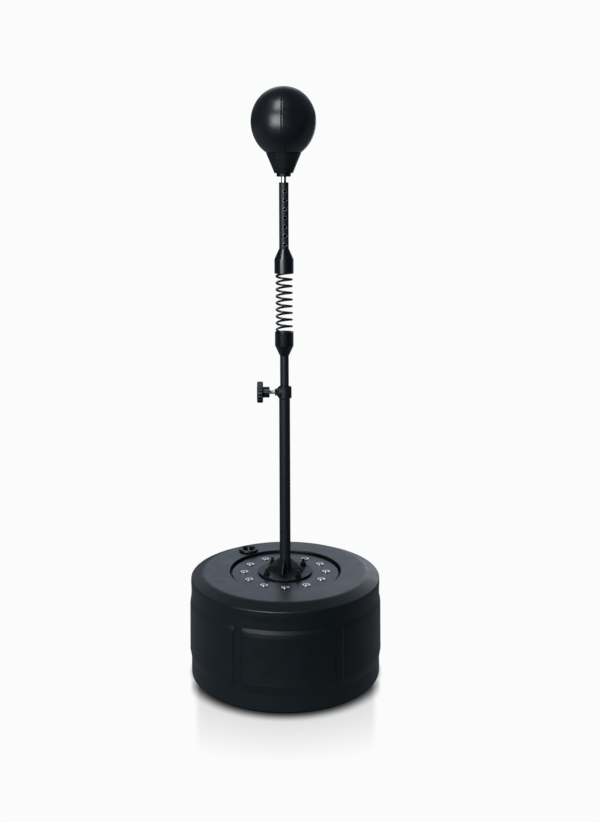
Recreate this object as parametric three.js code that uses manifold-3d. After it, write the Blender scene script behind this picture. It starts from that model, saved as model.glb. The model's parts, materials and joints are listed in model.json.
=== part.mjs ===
// Free-standing reflex ball: a fillable drum base, a telescopic steel pole with a clamp knob,
// a coil spring, a perforated tube and an inflated ball in a conical cup.
// Millimetres, +Z up, origin on the floor at the pole's axis. The front of the object faces -Y.

import * as THREE from 'three';
import { mergeVertices } from 'three/addons/utils/BufferGeometryUtils.js';
import Module from 'manifold-3d';

const wasm = await Module();
wasm.setup();

// ---- Driving dimensions --------------------------------------------------------------------------------

const REST = 0.2; // gap left between two pieces that rest on each other
const PRESS = 0.15; // radial gap left between a plug-in plastic part and its tube
const WELD = 0.3; // gap left between two pieces that are welded together
const SLIP = 0.6; // radial clearance of a hole over the screw in it
const EDGE = 0.6; // small chamfer on a turned steel edge
const MOULD_EDGE = 1; // small chamfer on a moulded edge
const OVER = 1; // how far a cutting shape runs past the face that it cuts

const DRUM = { r: 257.2, footR: 256.5, footRound: 7, topR: 224, shoulderZ: 256.5, height: 270, wall: 4 };
const PANEL = {
  count: 6, r: 260.5, foldZ: 46.5, bottomZ: 68.5, bendZ: 190, bendR: 259.5, topZ: 209,
  firstGap: 31.8, gapFloor: 4.4, gapWall: 0.9, columns: 10,
};
const RECESS = { r: 152.5, rimR: 155, mouthR: 95, shelf: 4 };
const LID = { r: 146.5, top: 263.5, thick: 5 };
const GASKET = { innerR: 97, outerR: 145, thick: 2.1 };
const LID_SCREW = {
  count: 12, circleR: 112.3, r: 2.5, length: 15, washerR: 11, washerThick: 1.5,
  headR: 6.2, headTopR: 4.8, headThick: 2.4, headEdge: 2, socketFlats: 4, socketDepth: 1.8,
};

const FILL = { x: -106, y: 150, turn: 97, holeR: 19, neckR: 23, neckDepth: 14 };
const CAP = {
  r: 27, edge: 1.5, topR: 25.8, thick: 4.2, plugR: 18, plugLength: 13,
  pocketR: 19.5, pocketDepth: 2.6, wellR: 15.5, wellDepth: 11, gripWidth: 4.6,
};
const CAP_SEAL = { innerR: 18.6, outerR: 24.6, thick: 1.6 };

const FLANGE = { r: 74, thick: 4.8, edge: 0.8, turn: -10, boltR: 61.5, bolts: 4 };
const BACKING = { r: 78, thick: 3 };
const BOLT = {
  r: 4, aboveFlange: 17.5, headFlats: 13, headThick: 5.3, nutThick: 6.8, washerR: 8.5, washerThick: 1.6,
};
const GUSSET = { count: 4, reach: 49, height: 31, toe: 5, top: 5, thick: 3.7 };

const POST = { r: 15, wall: 1.5, topZ: 769.5 };
const MAST = { r: 12, wall: 1.5, bottomZ: 440 };
const BUSH = { length: 47, play: 0.12 };
const GLIDE = { length: 20, wall: 2 };

const COLLAR = {
  r: 16.4, footR: 15.5, footHeight: 3, bottomZ: 739.5, topZ: 773,
  lugReach: 19.4, lugWidth: 14, lugCorner: 2.5, lugBottomZ: 742.5, lugTopZ: 772,
};
const BOSS = { rootR: 16, tipR: 9.6, from: 2, rootAt: 16, tipAt: 21 };
const CLAMP = { axisZ: 757.8, screwR: 5, screwTip: 15.6, screwEnd: 53.8, nutFlats: 17, nutThick: 5.5 };
const PAD = { r: 4.4, thick: 3 };
const KNOB = {
  hubR: 14.7, hubFrom: 41, hubSink: 3, discR: 28.7, discFrom: 59.2, discTo: 75.4,
  flutes: 18, fluteDepth: 2, round: 2,
};

const SEAT = { mastZ: 858.7, lowerR: 25.8, lowerConeZ: 886.5, lowerTopZ: 923.7 };
const UPPER_SEAT = { r: 26.6, bottomZ: 1084.4, coneZ: 1123.7, topZ: 1151.5 };
const SOCKET = { springDepth: 23.7, springPlay: 0.55, web: 7, play: 0.2, lip: 0.7 };
const SPRING = {
  meanR: 21, wireR: 2.75, pitch: 18.4, closedPitch: 6.3, closedTurns: 1, rightSideZ: 1067.6, stepsPerTurn: 12,
};

const TUBE = { r: 13.2, wall: 1.5, topZ: 1334.8 };
const TUBE_HOLES = { count: 7, r: 4.5, rimR: 6, sink: 1.25, topZ: 1310.3, pitch: 24.4, turn: 13 };
const PLUG = { flange: 2, depth: 16 };
const STUD = { r: 7, bottomZ: 1320.5, topZ: 1398 };

const NECK_RING = { r: 19.8, bottomZ: 1350.4, topZ: 1359.8 };
const CUP = { bottomR: 25.6, topR: 48.7, topZ: 1416.2, chamfer: 1.2, lip: 0.9, lipEdge: 0.5, ballPlay: 0.4 };
const BALL = { r: 90.2, centreZ: 1503, up: 97, down: 102, coverThick: 3, neckHoleR: 14 };
const BLADDER = { thick: 1.5, play: 1.6, floorLift: 11 };
const ANCHOR = { flangeR: 24, flangeThick: 2, shankR: 9, bottomZ: 1386, lift: 1.8 };
const VALVE = { r: 3.6, elevation: 40, depth: 14, sunk: 0.5, flangeR: 9, flangeThick: 1.5, flangePlay: 3 };

// Flat sides given to a round shape, by its size.
const FINE = 36;
const ROUND = 24;
const SMALL = 12;
const HOLE = 8;

// ---- Finishes ------------------------------------------------------------------------------------------

const finish = (color, roughness, metalness) => () =>
  new THREE.MeshStandardMaterial({ color, roughness, metalness });
const MOULDED = finish(0x1b2127, 0.5, 0);
const POWDER_COAT = finish(0x1d2126, 0.45, 0.3);
const GLOSS_PAINT = finish(0x0c0d0f, 0.2, 0.3);
const BRIGHT_STEEL = finish(0xc8cacc, 0.25, 1);
const BLACK_STEEL = finish(0x16181a, 0.4, 0.8);
const RUBBER = finish(0x0f1011, 0.75, 0);
const LEATHER = finish(0x0e0f10, 0.4, 0);
const NYLON = finish(0xd8d4c8, 0.5, 0);
const BRASS = finish(0xb08d48, 0.35, 1);

// ---- Shape helpers -------------------------------------------------------------------------------------

const radians = THREE.MathUtils.degToRad;
const upTo = (count) => Array.from({ length: count }, (_, i) => i);

/** Points [r, z] on an ellipse between two angles in degrees, from the equator upwards. */
function arc(centreR, centreZ, radiusR, radiusZ, from, to, steps) {
  return upTo(steps + 1).map((i) => {
    const t = radians(from + ((to - from) * i) / steps);
    return [centreR + radiusR * Math.cos(t), centreZ + radiusZ * Math.sin(t)];
  });
}

/** Turns a profile of [r, z] points about +Z. The profile has the material on its left. */
function lathe(profile, segments = ROUND) {
  const points = profile.map(([r, z]) => new THREE.Vector2(r, z));
  return new THREE.LatheGeometry(points, segments).rotateX(Math.PI / 2);
}

const rod = (r, from, to, segments = ROUND) => lathe([[0, from], [r, from], [r, to], [0, to]], segments);

const ring = (innerR, outerR, from, to, segments = ROUND) =>
  lathe([[innerR, from], [outerR, from], [outerR, to], [innerR, to], [innerR, from]], segments);

/** A hexagonal bar between two heights, measured across its flats. */
const hexBar = (flats, from, to) => rod(flats / Math.sqrt(3), from, to, 6);

/** Extrudes an outline of [x, y] points along +Z. */
function prism(outline, from, to) {
  const shape = new THREE.Shape(outline.map(([x, y]) => new THREE.Vector2(x, y)));
  return new THREE.ExtrudeGeometry(shape, { depth: to - from, bevelEnabled: false }).translate(0, 0, from);
}

/** Repeats a geometry at even steps around +Z, moved out to a radius. */
const around = (count, radius, make, first = 0) =>
  upTo(count).map((i) => make().translate(radius, 0, 0).rotateZ(radians(first + (360 * i) / count)));

/** The closed solid of a geometry, with shared vertices merged and collapsed faces dropped. */
function solid(geometry) {
  const bare = geometry.clone();
  bare.deleteAttribute('normal');
  bare.deleteAttribute('uv');
  const merged = mergeVertices(bare, 1e-4);
  const index = Array.from(merged.index.array);
  const triVerts = upTo(index.length / 3)
    .map((i) => index.slice(3 * i, 3 * i + 3))
    .filter(([a, b, c]) => a !== b && b !== c && c !== a)
    .flat();
  const vertProperties = Float32Array.from(merged.attributes.position.array);
  const mesh = new wasm.Mesh({ numProp: 3, vertProperties, triVerts: Uint32Array.from(triVerts) });
  return new wasm.Manifold(mesh);
}

/** The geometry of a solid. */
function surface(manifold) {
  const mesh = manifold.getMesh();
  const geometry = new THREE.BufferGeometry();
  geometry.setAttribute('position', new THREE.BufferAttribute(mesh.vertProperties, 3));
  geometry.setIndex(new THREE.BufferAttribute(mesh.triVerts, 1));
  geometry.computeVertexNormals();
  return geometry;
}

const join = (...pieces) => surface(pieces.map(solid).reduce((all, next) => all.add(next)));
const cut = (piece, ...tools) =>
  surface(tools.map(solid).reduce((left, tool) => left.subtract(tool), solid(piece)));

const object = new THREE.Group();

function add(name, geometry, material, parent = object) {
  const mesh = new THREE.Mesh(geometry, material());
  mesh.name = name;
  parent.add(mesh);
  return mesh;
}

function group(x, y, z, turnZ = 0) {
  const frame = new THREE.Group();
  frame.position.set(x, y, z);
  frame.rotation.z = radians(turnZ);
  object.add(frame);
  return frame;
}

// ---- Heights that follow from the driving dimensions ---------------------------------------------------

const lidBottom = LID.top - LID.thick;
const shelfTop = lidBottom - GASKET.thick - 2 * REST;
const flangeBottom = LID.top + REST;
const flangeTop = flangeBottom + FLANGE.thick;
const backingTop = lidBottom - REST;
const bushBottom = POST.topZ - BUSH.length;
const lowerSocketZ = SEAT.lowerTopZ - SOCKET.springDepth;
const upperSocketZ = UPPER_SEAT.bottomZ + SOCKET.springDepth;
const tubeBottom = upperSocketZ + SOCKET.web + REST;

// ---- Drum base -----------------------------------------------------------------------------------------

const lidScrewHoles = (from, to) =>
  around(LID_SCREW.count, LID_SCREW.circleR, () => rod(LID_SCREW.r + SLIP, from, to, HOLE), -90);
const flangeBoltHoles = (from, to, turn) =>
  around(FLANGE.bolts, FLANGE.boltR, () => rod(BOLT.r + SLIP, from, to, HOLE), 45 + turn);

/** Spaces the columns of a turned drum so that each panel has a narrow sunk gap beside it. */
function sinkPanelGaps(geometry) {
  const position = geometry.attributes.position;
  const pitch = 360 / PANEL.count;
  const panelStart = PANEL.gapFloor / 2 + PANEL.gapWall;
  const panelStep = (pitch - 2 * panelStart) / (PANEL.columns - 3);
  for (let i = 0; i < position.count; i += 1) {
    const turned = Math.atan2(position.getX(i), -position.getY(i));
    const column = Math.round((turned / (2 * Math.PI)) * PANEL.count * PANEL.columns);
    const panel = Math.floor(column / PANEL.columns);
    const place = column - panel * PANEL.columns;
    const inGap = place < 2;
    const gapAngle = (place - 0.5) * PANEL.gapFloor;
    const panelAngle = panelStart + (place - 2) * panelStep;
    const angle = radians(PANEL.firstGap + panel * pitch + (inGap ? gapAngle : panelAngle));
    const r = Math.hypot(position.getX(i), position.getY(i));
    const newR = inGap ? Math.min(r, DRUM.r) : r;
    position.setXY(i, newR * Math.sin(angle), -newR * Math.cos(angle));
  }
  return geometry;
}

function drumBase() {
  const rimRound = RECESS.rimR - RECESS.r;
  const outside = sinkPanelGaps(lathe([
    [0, 0],
    ...arc(DRUM.footR - DRUM.footRound, DRUM.footRound, DRUM.footRound, DRUM.footRound, -90, 0, 2),
    [DRUM.footR, PANEL.foldZ],
    [PANEL.r, PANEL.bottomZ],
    [PANEL.r, PANEL.bendZ],
    [PANEL.bendR, (PANEL.bendZ + PANEL.topZ) / 2],
    [DRUM.r, PANEL.topZ],
    [DRUM.r, DRUM.shoulderZ],
    [DRUM.topR, DRUM.height],
    ...arc(RECESS.rimR, DRUM.height - rimRound, rimRound, rimRound, 90, 180, 2),
    [RECESS.r, shelfTop],
    [0, shelfTop],
  ], PANEL.count * PANEL.columns));
  const inner = DRUM.footR - DRUM.wall;
  const cavity = lathe([
    [0, DRUM.wall],
    [inner - DRUM.footRound, DRUM.wall],
    [inner, DRUM.wall + DRUM.footRound],
    [inner, DRUM.shoulderZ - DRUM.wall],
    [DRUM.topR, DRUM.height - DRUM.wall],
    [RECESS.r + DRUM.wall, DRUM.height - DRUM.wall],
    [RECESS.r + DRUM.wall, shelfTop - RECESS.shelf],
    [RECESS.mouthR, shelfTop - RECESS.shelf],
    [RECESS.mouthR, DRUM.height],
    [0, DRUM.height],
  ], FINE);
  const neckBottom = DRUM.height - FILL.neckDepth;
  const neck = ring(FILL.holeR - OVER, FILL.neckR, neckBottom, DRUM.height - DRUM.wall + OVER);
  const fillHole = rod(FILL.holeR, neckBottom - OVER, DRUM.height + OVER);
  const shell = cut(outside, cavity);
  return cut(
    join(shell, neck.translate(FILL.x, FILL.y, 0)),
    fillHole.translate(FILL.x, FILL.y, 0),
    ...lidScrewHoles(shelfTop - RECESS.shelf - OVER, shelfTop + OVER),
  );
}

function lidDisc() {
  const disc = lathe([
    [0, lidBottom], [LID.r, lidBottom], [LID.r, LID.top - MOULD_EDGE], [LID.r - MOULD_EDGE, LID.top],
    [0, LID.top],
  ], FINE);
  return cut(
    disc,
    ...lidScrewHoles(lidBottom - OVER, LID.top + OVER),
    ...flangeBoltHoles(lidBottom - OVER, LID.top + OVER, FLANGE.turn),
  );
}

function lidGasket() {
  const top = lidBottom - REST;
  const seal = ring(GASKET.innerR, GASKET.outerR, top - GASKET.thick, top, FINE);
  return cut(seal, ...lidScrewHoles(top - GASKET.thick - OVER, top + OVER));
}

/** A button-head socket screw with its captive washer; z = 0 is the face under the washer. */
function lidScrew() {
  const { r, length, washerR, washerThick, headR, headTopR, headThick, headEdge } = LID_SCREW;
  const top = washerThick + headThick;
  const body = lathe([
    [0, -length], [r, -length], [r, 0], [washerR, 0], [washerR, washerThick], [headR, washerThick],
    [headTopR, washerThick + headEdge], [0, top],
  ], SMALL);
  return cut(body, hexBar(LID_SCREW.socketFlats, top - LID_SCREW.socketDepth, top + OVER));
}

add('base_drum', drumBase(), MOULDED);
add('lid_disc', lidDisc(), MOULDED);
add('lid_gasket', lidGasket(), RUBBER);
for (const i of upTo(LID_SCREW.count)) {
  const angle = radians(-90 + (360 * i) / LID_SCREW.count);
  const screw = add(`lid_screw_${String(i + 1).padStart(2, '0')}`, lidScrew(), BRIGHT_STEEL);
  const { circleR } = LID_SCREW;
  screw.position.set(circleR * Math.cos(angle), circleR * Math.sin(angle), LID.top + REST);
  screw.rotation.z = angle;
}

// ---- Fill cap ------------------------------------------------------------------------------------------

/** A cap with a plug below and two stepped pockets that leave a grip bar across its top. */
function fillCap() {
  const body = lathe([
    [0, -CAP.plugLength], [CAP.plugR - MOULD_EDGE, -CAP.plugLength], [CAP.plugR, MOULD_EDGE - CAP.plugLength],
    [CAP.plugR, 0], [CAP.r, 0], [CAP.r, CAP.edge], [CAP.topR, CAP.thick], [0, CAP.thick],
  ]);
  const halfDisc = (r, depth) => {
    const edgeAngle = THREE.MathUtils.radToDeg(Math.asin(CAP.gripWidth / 2 / r));
    return prism(arc(0, 0, r, r, edgeAngle, 180 - edgeAngle, 8), CAP.thick - depth, CAP.thick + OVER);
  };
  const pocket = () => halfDisc(CAP.pocketR, CAP.pocketDepth);
  const well = () => halfDisc(CAP.wellR, CAP.wellDepth);
  return cut(body, pocket(), well(), pocket().rotateZ(Math.PI), well().rotateZ(Math.PI));
}

const capFrame = group(FILL.x, FILL.y, DRUM.height + REST, FILL.turn);
add('fill_cap_seal', ring(CAP_SEAL.innerR, CAP_SEAL.outerR, 0, CAP_SEAL.thick), RUBBER, capFrame);
add('fill_cap', fillCap().translate(0, 0, CAP_SEAL.thick + REST), MOULDED, capFrame);

// ---- Pole flange and its bolts -------------------------------------------------------------------------

function flangePlate() {
  const plate = lathe([
    [0, flangeBottom], [FLANGE.r, flangeBottom], [FLANGE.r, flangeTop - FLANGE.edge],
    [FLANGE.r - FLANGE.edge, flangeTop], [0, flangeTop],
  ], FINE);
  return cut(plate, ...flangeBoltHoles(flangeBottom - OVER, flangeTop + OVER, 0));
}

function backingPlate() {
  const bottom = backingTop - BACKING.thick;
  const plate = rod(BACKING.r, bottom, backingTop, FINE);
  return cut(plate, ...flangeBoltHoles(bottom - OVER, backingTop + OVER, 0));
}

/** An upright triangular rib between the post and the flange, drawn as reach against height. */
function gusset() {
  const foot = POST.r + WELD;
  const { reach, toe, top, height, thick } = GUSSET;
  const outline = [[foot, 0], [reach, 0], [reach, toe], [foot + top, height], [foot, height]];
  return prism(outline, -thick / 2, thick / 2).rotateX(Math.PI / 2).translate(0, 0, flangeTop + WELD);
}

const boltHeadTop = backingTop - BACKING.thick - REST;
const flangeBolt = () =>
  join(hexBar(BOLT.headFlats, boltHeadTop - BOLT.headThick, boltHeadTop),
    rod(BOLT.r, boltHeadTop - OVER, flangeTop + BOLT.aboveFlange, SMALL));
const nutBottom = flangeTop + BOLT.washerThick + 2 * REST;
const flangeNut = () =>
  cut(hexBar(BOLT.headFlats, nutBottom, nutBottom + BOLT.nutThick),
    rod(BOLT.r + WELD, nutBottom - OVER, nutBottom + BOLT.nutThick + OVER, SMALL));
const flangeWasher = () =>
  ring(BOLT.r + WELD, BOLT.washerR, flangeTop + REST, flangeTop + REST + BOLT.washerThick, SMALL);

const flangeFrame = group(0, 0, 0, FLANGE.turn);
add('flange_plate', flangePlate(), POWDER_COAT, flangeFrame);
add('backing_plate', backingPlate(), BLACK_STEEL, flangeFrame);
for (const i of upTo(GUSSET.count)) {
  const rib = add(`gusset_${i + 1}`, gusset(), POWDER_COAT, flangeFrame);
  rib.rotation.z = radians(-90 + (360 * i) / GUSSET.count);
}
for (const i of upTo(FLANGE.bolts)) {
  const corner = new THREE.Group();
  corner.rotation.z = radians(45 + (360 * i) / FLANGE.bolts);
  flangeFrame.add(corner);
  for (const [name, make] of [['bolt', flangeBolt], ['washer', flangeWasher], ['nut', flangeNut]]) {
    add(`flange_${name}_${i + 1}`, make(), BLACK_STEEL, corner).position.x = FLANGE.boltR;
  }
}

// ---- Post, collar and clamp ----------------------------------------------------------------------------

/** Turns a shape drawn along +Z, as distance from the pole, to lie along -X at the clamp's height. */
const acrossPole = (geometry) => geometry.rotateY(-Math.PI / 2).translate(0, 0, CLAMP.axisZ);
const clampHole = (r) => acrossPole(rod(r, POST.r / 2, BOSS.tipAt + OVER, SMALL));

const outerTube = () =>
  cut(ring(POST.r - POST.wall, POST.r, flangeTop + WELD, POST.topZ), clampHole(CLAMP.screwR + SLIP));

const bushOuterR = POST.r - POST.wall - PRESS;
const guideBush = () =>
  cut(ring(MAST.r + BUSH.play, bushOuterR, bushBottom, POST.topZ - REST), clampHole(CLAMP.screwR + SLIP));

function collar() {
  const sleeve = lathe([
    [0, COLLAR.bottomZ], [COLLAR.footR, COLLAR.bottomZ], [COLLAR.r, COLLAR.bottomZ + COLLAR.footHeight],
    [COLLAR.r, COLLAR.topZ], [0, COLLAR.topZ],
  ]);
  const half = COLLAR.lugWidth / 2;
  const { lugReach, lugCorner, lugBottomZ, lugTopZ } = COLLAR;
  const lug = prism([
    [0, -half], [lugReach - lugCorner, -half], [lugReach, -half + lugCorner],
    [lugReach, half - lugCorner], [lugReach - lugCorner, half], [0, half],
  ], lugBottomZ, lugTopZ);
  const boss = acrossPole(lathe([
    [0, BOSS.from], [BOSS.rootR, BOSS.from], [BOSS.rootR, BOSS.rootAt], [BOSS.tipR, BOSS.tipAt],
    [0, BOSS.tipAt],
  ]));
  const roof = POST.topZ + REST;
  return cut(
    join(sleeve, lug, boss),
    rod(POST.r + REST, COLLAR.bottomZ - OVER, roof),
    rod(MAST.r + SLIP, roof - OVER, COLLAR.topZ + OVER),
    clampHole(CLAMP.screwR + WELD),
  );
}

const collarNut = () =>
  acrossPole(cut(hexBar(CLAMP.nutFlats, BOSS.tipAt + REST, BOSS.tipAt + CLAMP.nutThick),
    rod(CLAMP.screwR + WELD, BOSS.tipAt, BOSS.tipAt + CLAMP.nutThick + OVER, SMALL)));

add('outer_tube', outerTube(), POWDER_COAT);
add('guide_bush', guideBush(), NYLON);
add('collar', collar(), POWDER_COAT);
add('collar_nut', collarNut(), BLACK_STEEL);

const padFrom = MAST.r + WELD;
const frictionPad = () => acrossPole(rod(PAD.r, padFrom, padFrom + PAD.thick, SMALL));
const knobScrew = () => acrossPole(rod(CLAMP.screwR, CLAMP.screwTip, CLAMP.screwEnd, SMALL));

/** A fluted hand wheel on a round hub, with a blind bore for the screw. */
function knob() {
  const points = KNOB.flutes * 4;
  const outline = upTo(points).map((i) => {
    const angle = (2 * Math.PI * i) / points;
    const dip = Math.max(0, -Math.cos(KNOB.flutes * angle));
    const r = KNOB.discR - KNOB.round - KNOB.fluteDepth * dip;
    return [r * Math.cos(angle), r * Math.sin(angle)];
  });
  const shape = new THREE.Shape(outline.map(([x, y]) => new THREE.Vector2(x, y)));
  const depth = KNOB.discTo - KNOB.discFrom - 2 * KNOB.round;
  const rounding = { bevelSize: KNOB.round, bevelThickness: KNOB.round, bevelSegments: 1 };
  const disc = new THREE.ExtrudeGeometry(shape, { depth, ...rounding });
  disc.translate(0, 0, KNOB.discFrom + KNOB.round);
  const hubTo = KNOB.discFrom + KNOB.hubSink;
  const hub = lathe([
    [0, KNOB.hubFrom], [KNOB.hubR - KNOB.round, KNOB.hubFrom], [KNOB.hubR, KNOB.hubFrom + KNOB.round],
    [KNOB.hubR, hubTo], [0, hubTo],
  ]);
  const bore = rod(CLAMP.screwR + REST, KNOB.hubFrom - OVER, CLAMP.screwEnd + REST, SMALL);
  return acrossPole(cut(join(disc, hub), bore));
}

add('friction_pad', frictionPad(), BRASS);
add('knob_screw', knobScrew(), BRIGHT_STEEL);
add('knob', knob(), RUBBER);

// ---- Mast, spring seats and spring ---------------------------------------------------------------------

const mastTop = lowerSocketZ - SOCKET.web - REST;
const springBoreR = SPRING.meanR + SPRING.wireR + SOCKET.springPlay;

function lowerSpringSeat() {
  const mastBoreR = MAST.r + SOCKET.play;
  const { mastZ, lowerR, lowerConeZ, lowerTopZ } = SEAT;
  return lathe([
    [0, lowerSocketZ - SOCKET.web], [mastBoreR, lowerSocketZ - SOCKET.web], [mastBoreR, mastZ],
    [mastBoreR + SOCKET.lip, mastZ], [lowerR, lowerConeZ], [lowerR, lowerTopZ - EDGE],
    [lowerR - EDGE, lowerTopZ], [springBoreR, lowerTopZ], [springBoreR, lowerSocketZ], [0, lowerSocketZ],
  ]);
}

function upperSpringSeat() {
  const tubeBoreR = TUBE.r + SOCKET.play;
  const { r, bottomZ, coneZ, topZ } = UPPER_SEAT;
  return lathe([
    [0, upperSocketZ], [springBoreR, upperSocketZ], [springBoreR, bottomZ],
    [r - EDGE, bottomZ], [r, bottomZ + EDGE], [r, coneZ],
    [tubeBoreR + SOCKET.lip, topZ], [tubeBoreR, topZ], [tubeBoreR, upperSocketZ + SOCKET.web],
    [0, upperSocketZ + SOCKET.web],
  ]);
}

const springFrom = lowerSocketZ + REST + SPRING.wireR;
const springTo = upperSocketZ - REST - SPRING.wireR;
const closedRise = SPRING.closedTurns * SPRING.closedPitch;
const openTurns = (springTo - springFrom - 2 * closedRise) / SPRING.pitch;
const springTurns = openTurns + 2 * SPRING.closedTurns;

/** A left-handed helix with one closed coil at each end. */
class SpringPath extends THREE.Curve {
  getPoint(t, target = new THREE.Vector3()) {
    const turn = t * springTurns;
    const lowerTurns = Math.min(turn, SPRING.closedTurns);
    const upperTurns = Math.max(turn - SPRING.closedTurns - openTurns, 0);
    const middleTurns = turn - lowerTurns - upperTurns;
    const z = springFrom + SPRING.closedPitch * (lowerTurns + upperTurns) + SPRING.pitch * middleTurns;
    const rightSideTurn = SPRING.closedTurns + (SPRING.rightSideZ - springFrom - closedRise) / SPRING.pitch;
    const angle = 2 * Math.PI * (rightSideTurn - turn);
    return target.set(SPRING.meanR * Math.cos(angle), SPRING.meanR * Math.sin(angle), z);
  }
}

function spring() {
  const outline = arc(0, 0, SPRING.wireR, SPRING.wireR, 0, 300, 5);
  const wire = new THREE.Shape(outline.map(([x, y]) => new THREE.Vector2(x, y)));
  const steps = Math.round(springTurns * SPRING.stepsPerTurn);
  return new THREE.ExtrudeGeometry(wire, { steps, extrudePath: new SpringPath() });
}

const innerTube = () => ring(MAST.r - MAST.wall, MAST.r, MAST.bottomZ + GLIDE.length / 2, mastTop);

/** A plug-in glide: a wide band inside the post, with a spigot up into the inner tube. */
function mastGlide() {
  const spigotR = MAST.r - MAST.wall - PRESS;
  const boreR = spigotR - GLIDE.wall;
  const bandTop = MAST.bottomZ + GLIDE.length / 2 - REST;
  const top = MAST.bottomZ + GLIDE.length;
  return lathe([
    [boreR, MAST.bottomZ], [bushOuterR, MAST.bottomZ], [bushOuterR, bandTop], [spigotR, bandTop],
    [spigotR, top], [boreR, top], [boreR, MAST.bottomZ],
  ]);
}

add('inner_tube', innerTube(), POWDER_COAT);
add('mast_glide', mastGlide(), NYLON);
add('lower_spring_seat', lowerSpringSeat(), GLOSS_PAINT);
add('spring', spring(), BLACK_STEEL);
add('upper_spring_seat', upperSpringSeat(), GLOSS_PAINT);

// ---- Perforated tube and coupling ----------------------------------------------------------------------

function upperTube() {
  const wallR = TUBE.r - TUBE.wall;
  const { r, rimR, sink } = TUBE_HOLES;
  const hole = (i) =>
    lathe([[0, wallR / 2], [r, wallR / 2], [r, TUBE.r - sink], [rimR, TUBE.r], [0, TUBE.r + OVER]], SMALL)
      .rotateX(Math.PI / 2)
      .translate(0, 0, TUBE_HOLES.topZ - i * TUBE_HOLES.pitch)
      .rotateZ(radians(TUBE_HOLES.turn));
  return cut(ring(wallR, TUBE.r, tubeBottom, TUBE.topZ - PLUG.flange), ...upTo(TUBE_HOLES.count).map(hole));
}

function upperTubePlug() {
  const under = TUBE.topZ - PLUG.flange + REST;
  const boreR = STUD.r + REST;
  const spigotR = TUBE.r - TUBE.wall - REST;
  return lathe([
    [boreR, under - PLUG.depth], [spigotR, under - PLUG.depth], [spigotR, under], [TUBE.r, under],
    [TUBE.r, TUBE.topZ], [boreR, TUBE.topZ], [boreR, under - PLUG.depth],
  ]);
}

add('upper_tube', upperTube(), POWDER_COAT);
add('upper_tube_plug', upperTubePlug(), BLACK_STEEL);
add('coupling_stud', rod(STUD.r, STUD.bottomZ, STUD.topZ, SMALL), BRIGHT_STEEL);

// ---- Ball and its cup ----------------------------------------------------------------------------------

/** The ball's profile from a lower to an upper angle, moved inwards by an inset. */
function ballProfile(inset, from, to, steps) {
  const point = (t) => {
    const height = t < 0 ? BALL.down : BALL.up;
    return arc(0, BALL.centreZ, BALL.r - inset, height - inset, t, t, 1)[0];
  };
  return upTo(steps + 1).map((i) => point(from + ((to - from) * i) / steps));
}

const angleAt = (r, inset) => THREE.MathUtils.radToDeg(Math.acos(r / (BALL.r - inset)));

function neckCup() {
  const boreR = STUD.r + WELD;
  const shankBoreR = ANCHOR.shankR + WELD;
  const bottom = NECK_RING.topZ + REST;
  const lipR = CUP.topR - CUP.lip;
  return lathe([
    [boreR, bottom], [CUP.bottomR - CUP.chamfer, bottom], [CUP.bottomR, bottom + CUP.chamfer],
    [CUP.topR, CUP.topZ - CUP.lipEdge],
    ...ballProfile(-CUP.ballPlay, -angleAt(lipR, -CUP.ballPlay), -angleAt(shankBoreR, -CUP.ballPlay), 6),
    [shankBoreR, ANCHOR.bottomZ - REST], [boreR, ANCHOR.bottomZ - REST], [boreR, bottom],
  ]);
}

function anchorInsert() {
  const inside = BALL.coverThick;
  const flangeBelow = ballProfile(inside, -angleAt(ANCHOR.flangeR, inside), 0, 1)[0][1] + ANCHOR.lift;
  const boreR = STUD.r + WELD;
  return lathe([
    [boreR, ANCHOR.bottomZ], [ANCHOR.shankR, ANCHOR.bottomZ], [ANCHOR.shankR, flangeBelow],
    [ANCHOR.flangeR, flangeBelow], [ANCHOR.flangeR, flangeBelow + ANCHOR.flangeThick],
    [boreR, flangeBelow + ANCHOR.flangeThick], [boreR, ANCHOR.bottomZ],
  ]);
}

/** Carries a shape drawn about +Z, with z = 0 on the ball's surface, to the valve's place at the back. */
function atValve(geometry) {
  const [r, z] = ballProfile(0, VALVE.elevation, VALVE.elevation, 1)[0];
  const slope = Math.atan2((z - BALL.centreZ) / BALL.up ** 2, r / BALL.r ** 2);
  return geometry.rotateX(slope - Math.PI / 2).translate(0, r, z);
}
const valveHole = () => atValve(rod(VALVE.r + WELD, -3 * BALL.coverThick, BALL.coverThick, SMALL));

function ballCover() {
  const neck = -angleAt(BALL.neckHoleR, 0);
  const shell = lathe([
    ...ballProfile(BALL.coverThick, 90, neck, 10), ...ballProfile(0, neck, 90, 14),
  ].map(([r, z]) => [r < 1e-6 ? 0 : r, z]), FINE);
  return cut(shell, valveHole());
}

function bladder() {
  const outer = BALL.coverThick + BLADDER.play;
  const floor = BALL.centreZ - BALL.down + BLADDER.floorLift;
  const flattened = (raise) => ([r, z]) => [r < 1e-6 ? 0 : r, Math.max(z, floor + raise)];
  const shell = lathe([
    ...ballProfile(outer + BLADDER.thick, 90, -90, 8).map(flattened(BLADDER.thick)),
    ...ballProfile(outer, -90, 90, 8).map(flattened(0)),
  ]);
  return cut(shell, valveHole());
}

function bladderValve() {
  const insideWall = BALL.coverThick + BLADDER.play + BLADDER.thick;
  const flangeTo = -insideWall - VALVE.flangePlay;
  const flangeFrom = flangeTo - VALVE.flangeThick;
  const { r, flangeR, depth, sunk } = VALVE;
  return atValve(lathe([
    [0, -depth], [r, -depth], [r, flangeFrom], [flangeR, flangeFrom], [flangeR, flangeTo], [r, flangeTo],
    [r, -sunk], [0, -sunk],
  ], SMALL));
}

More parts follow.
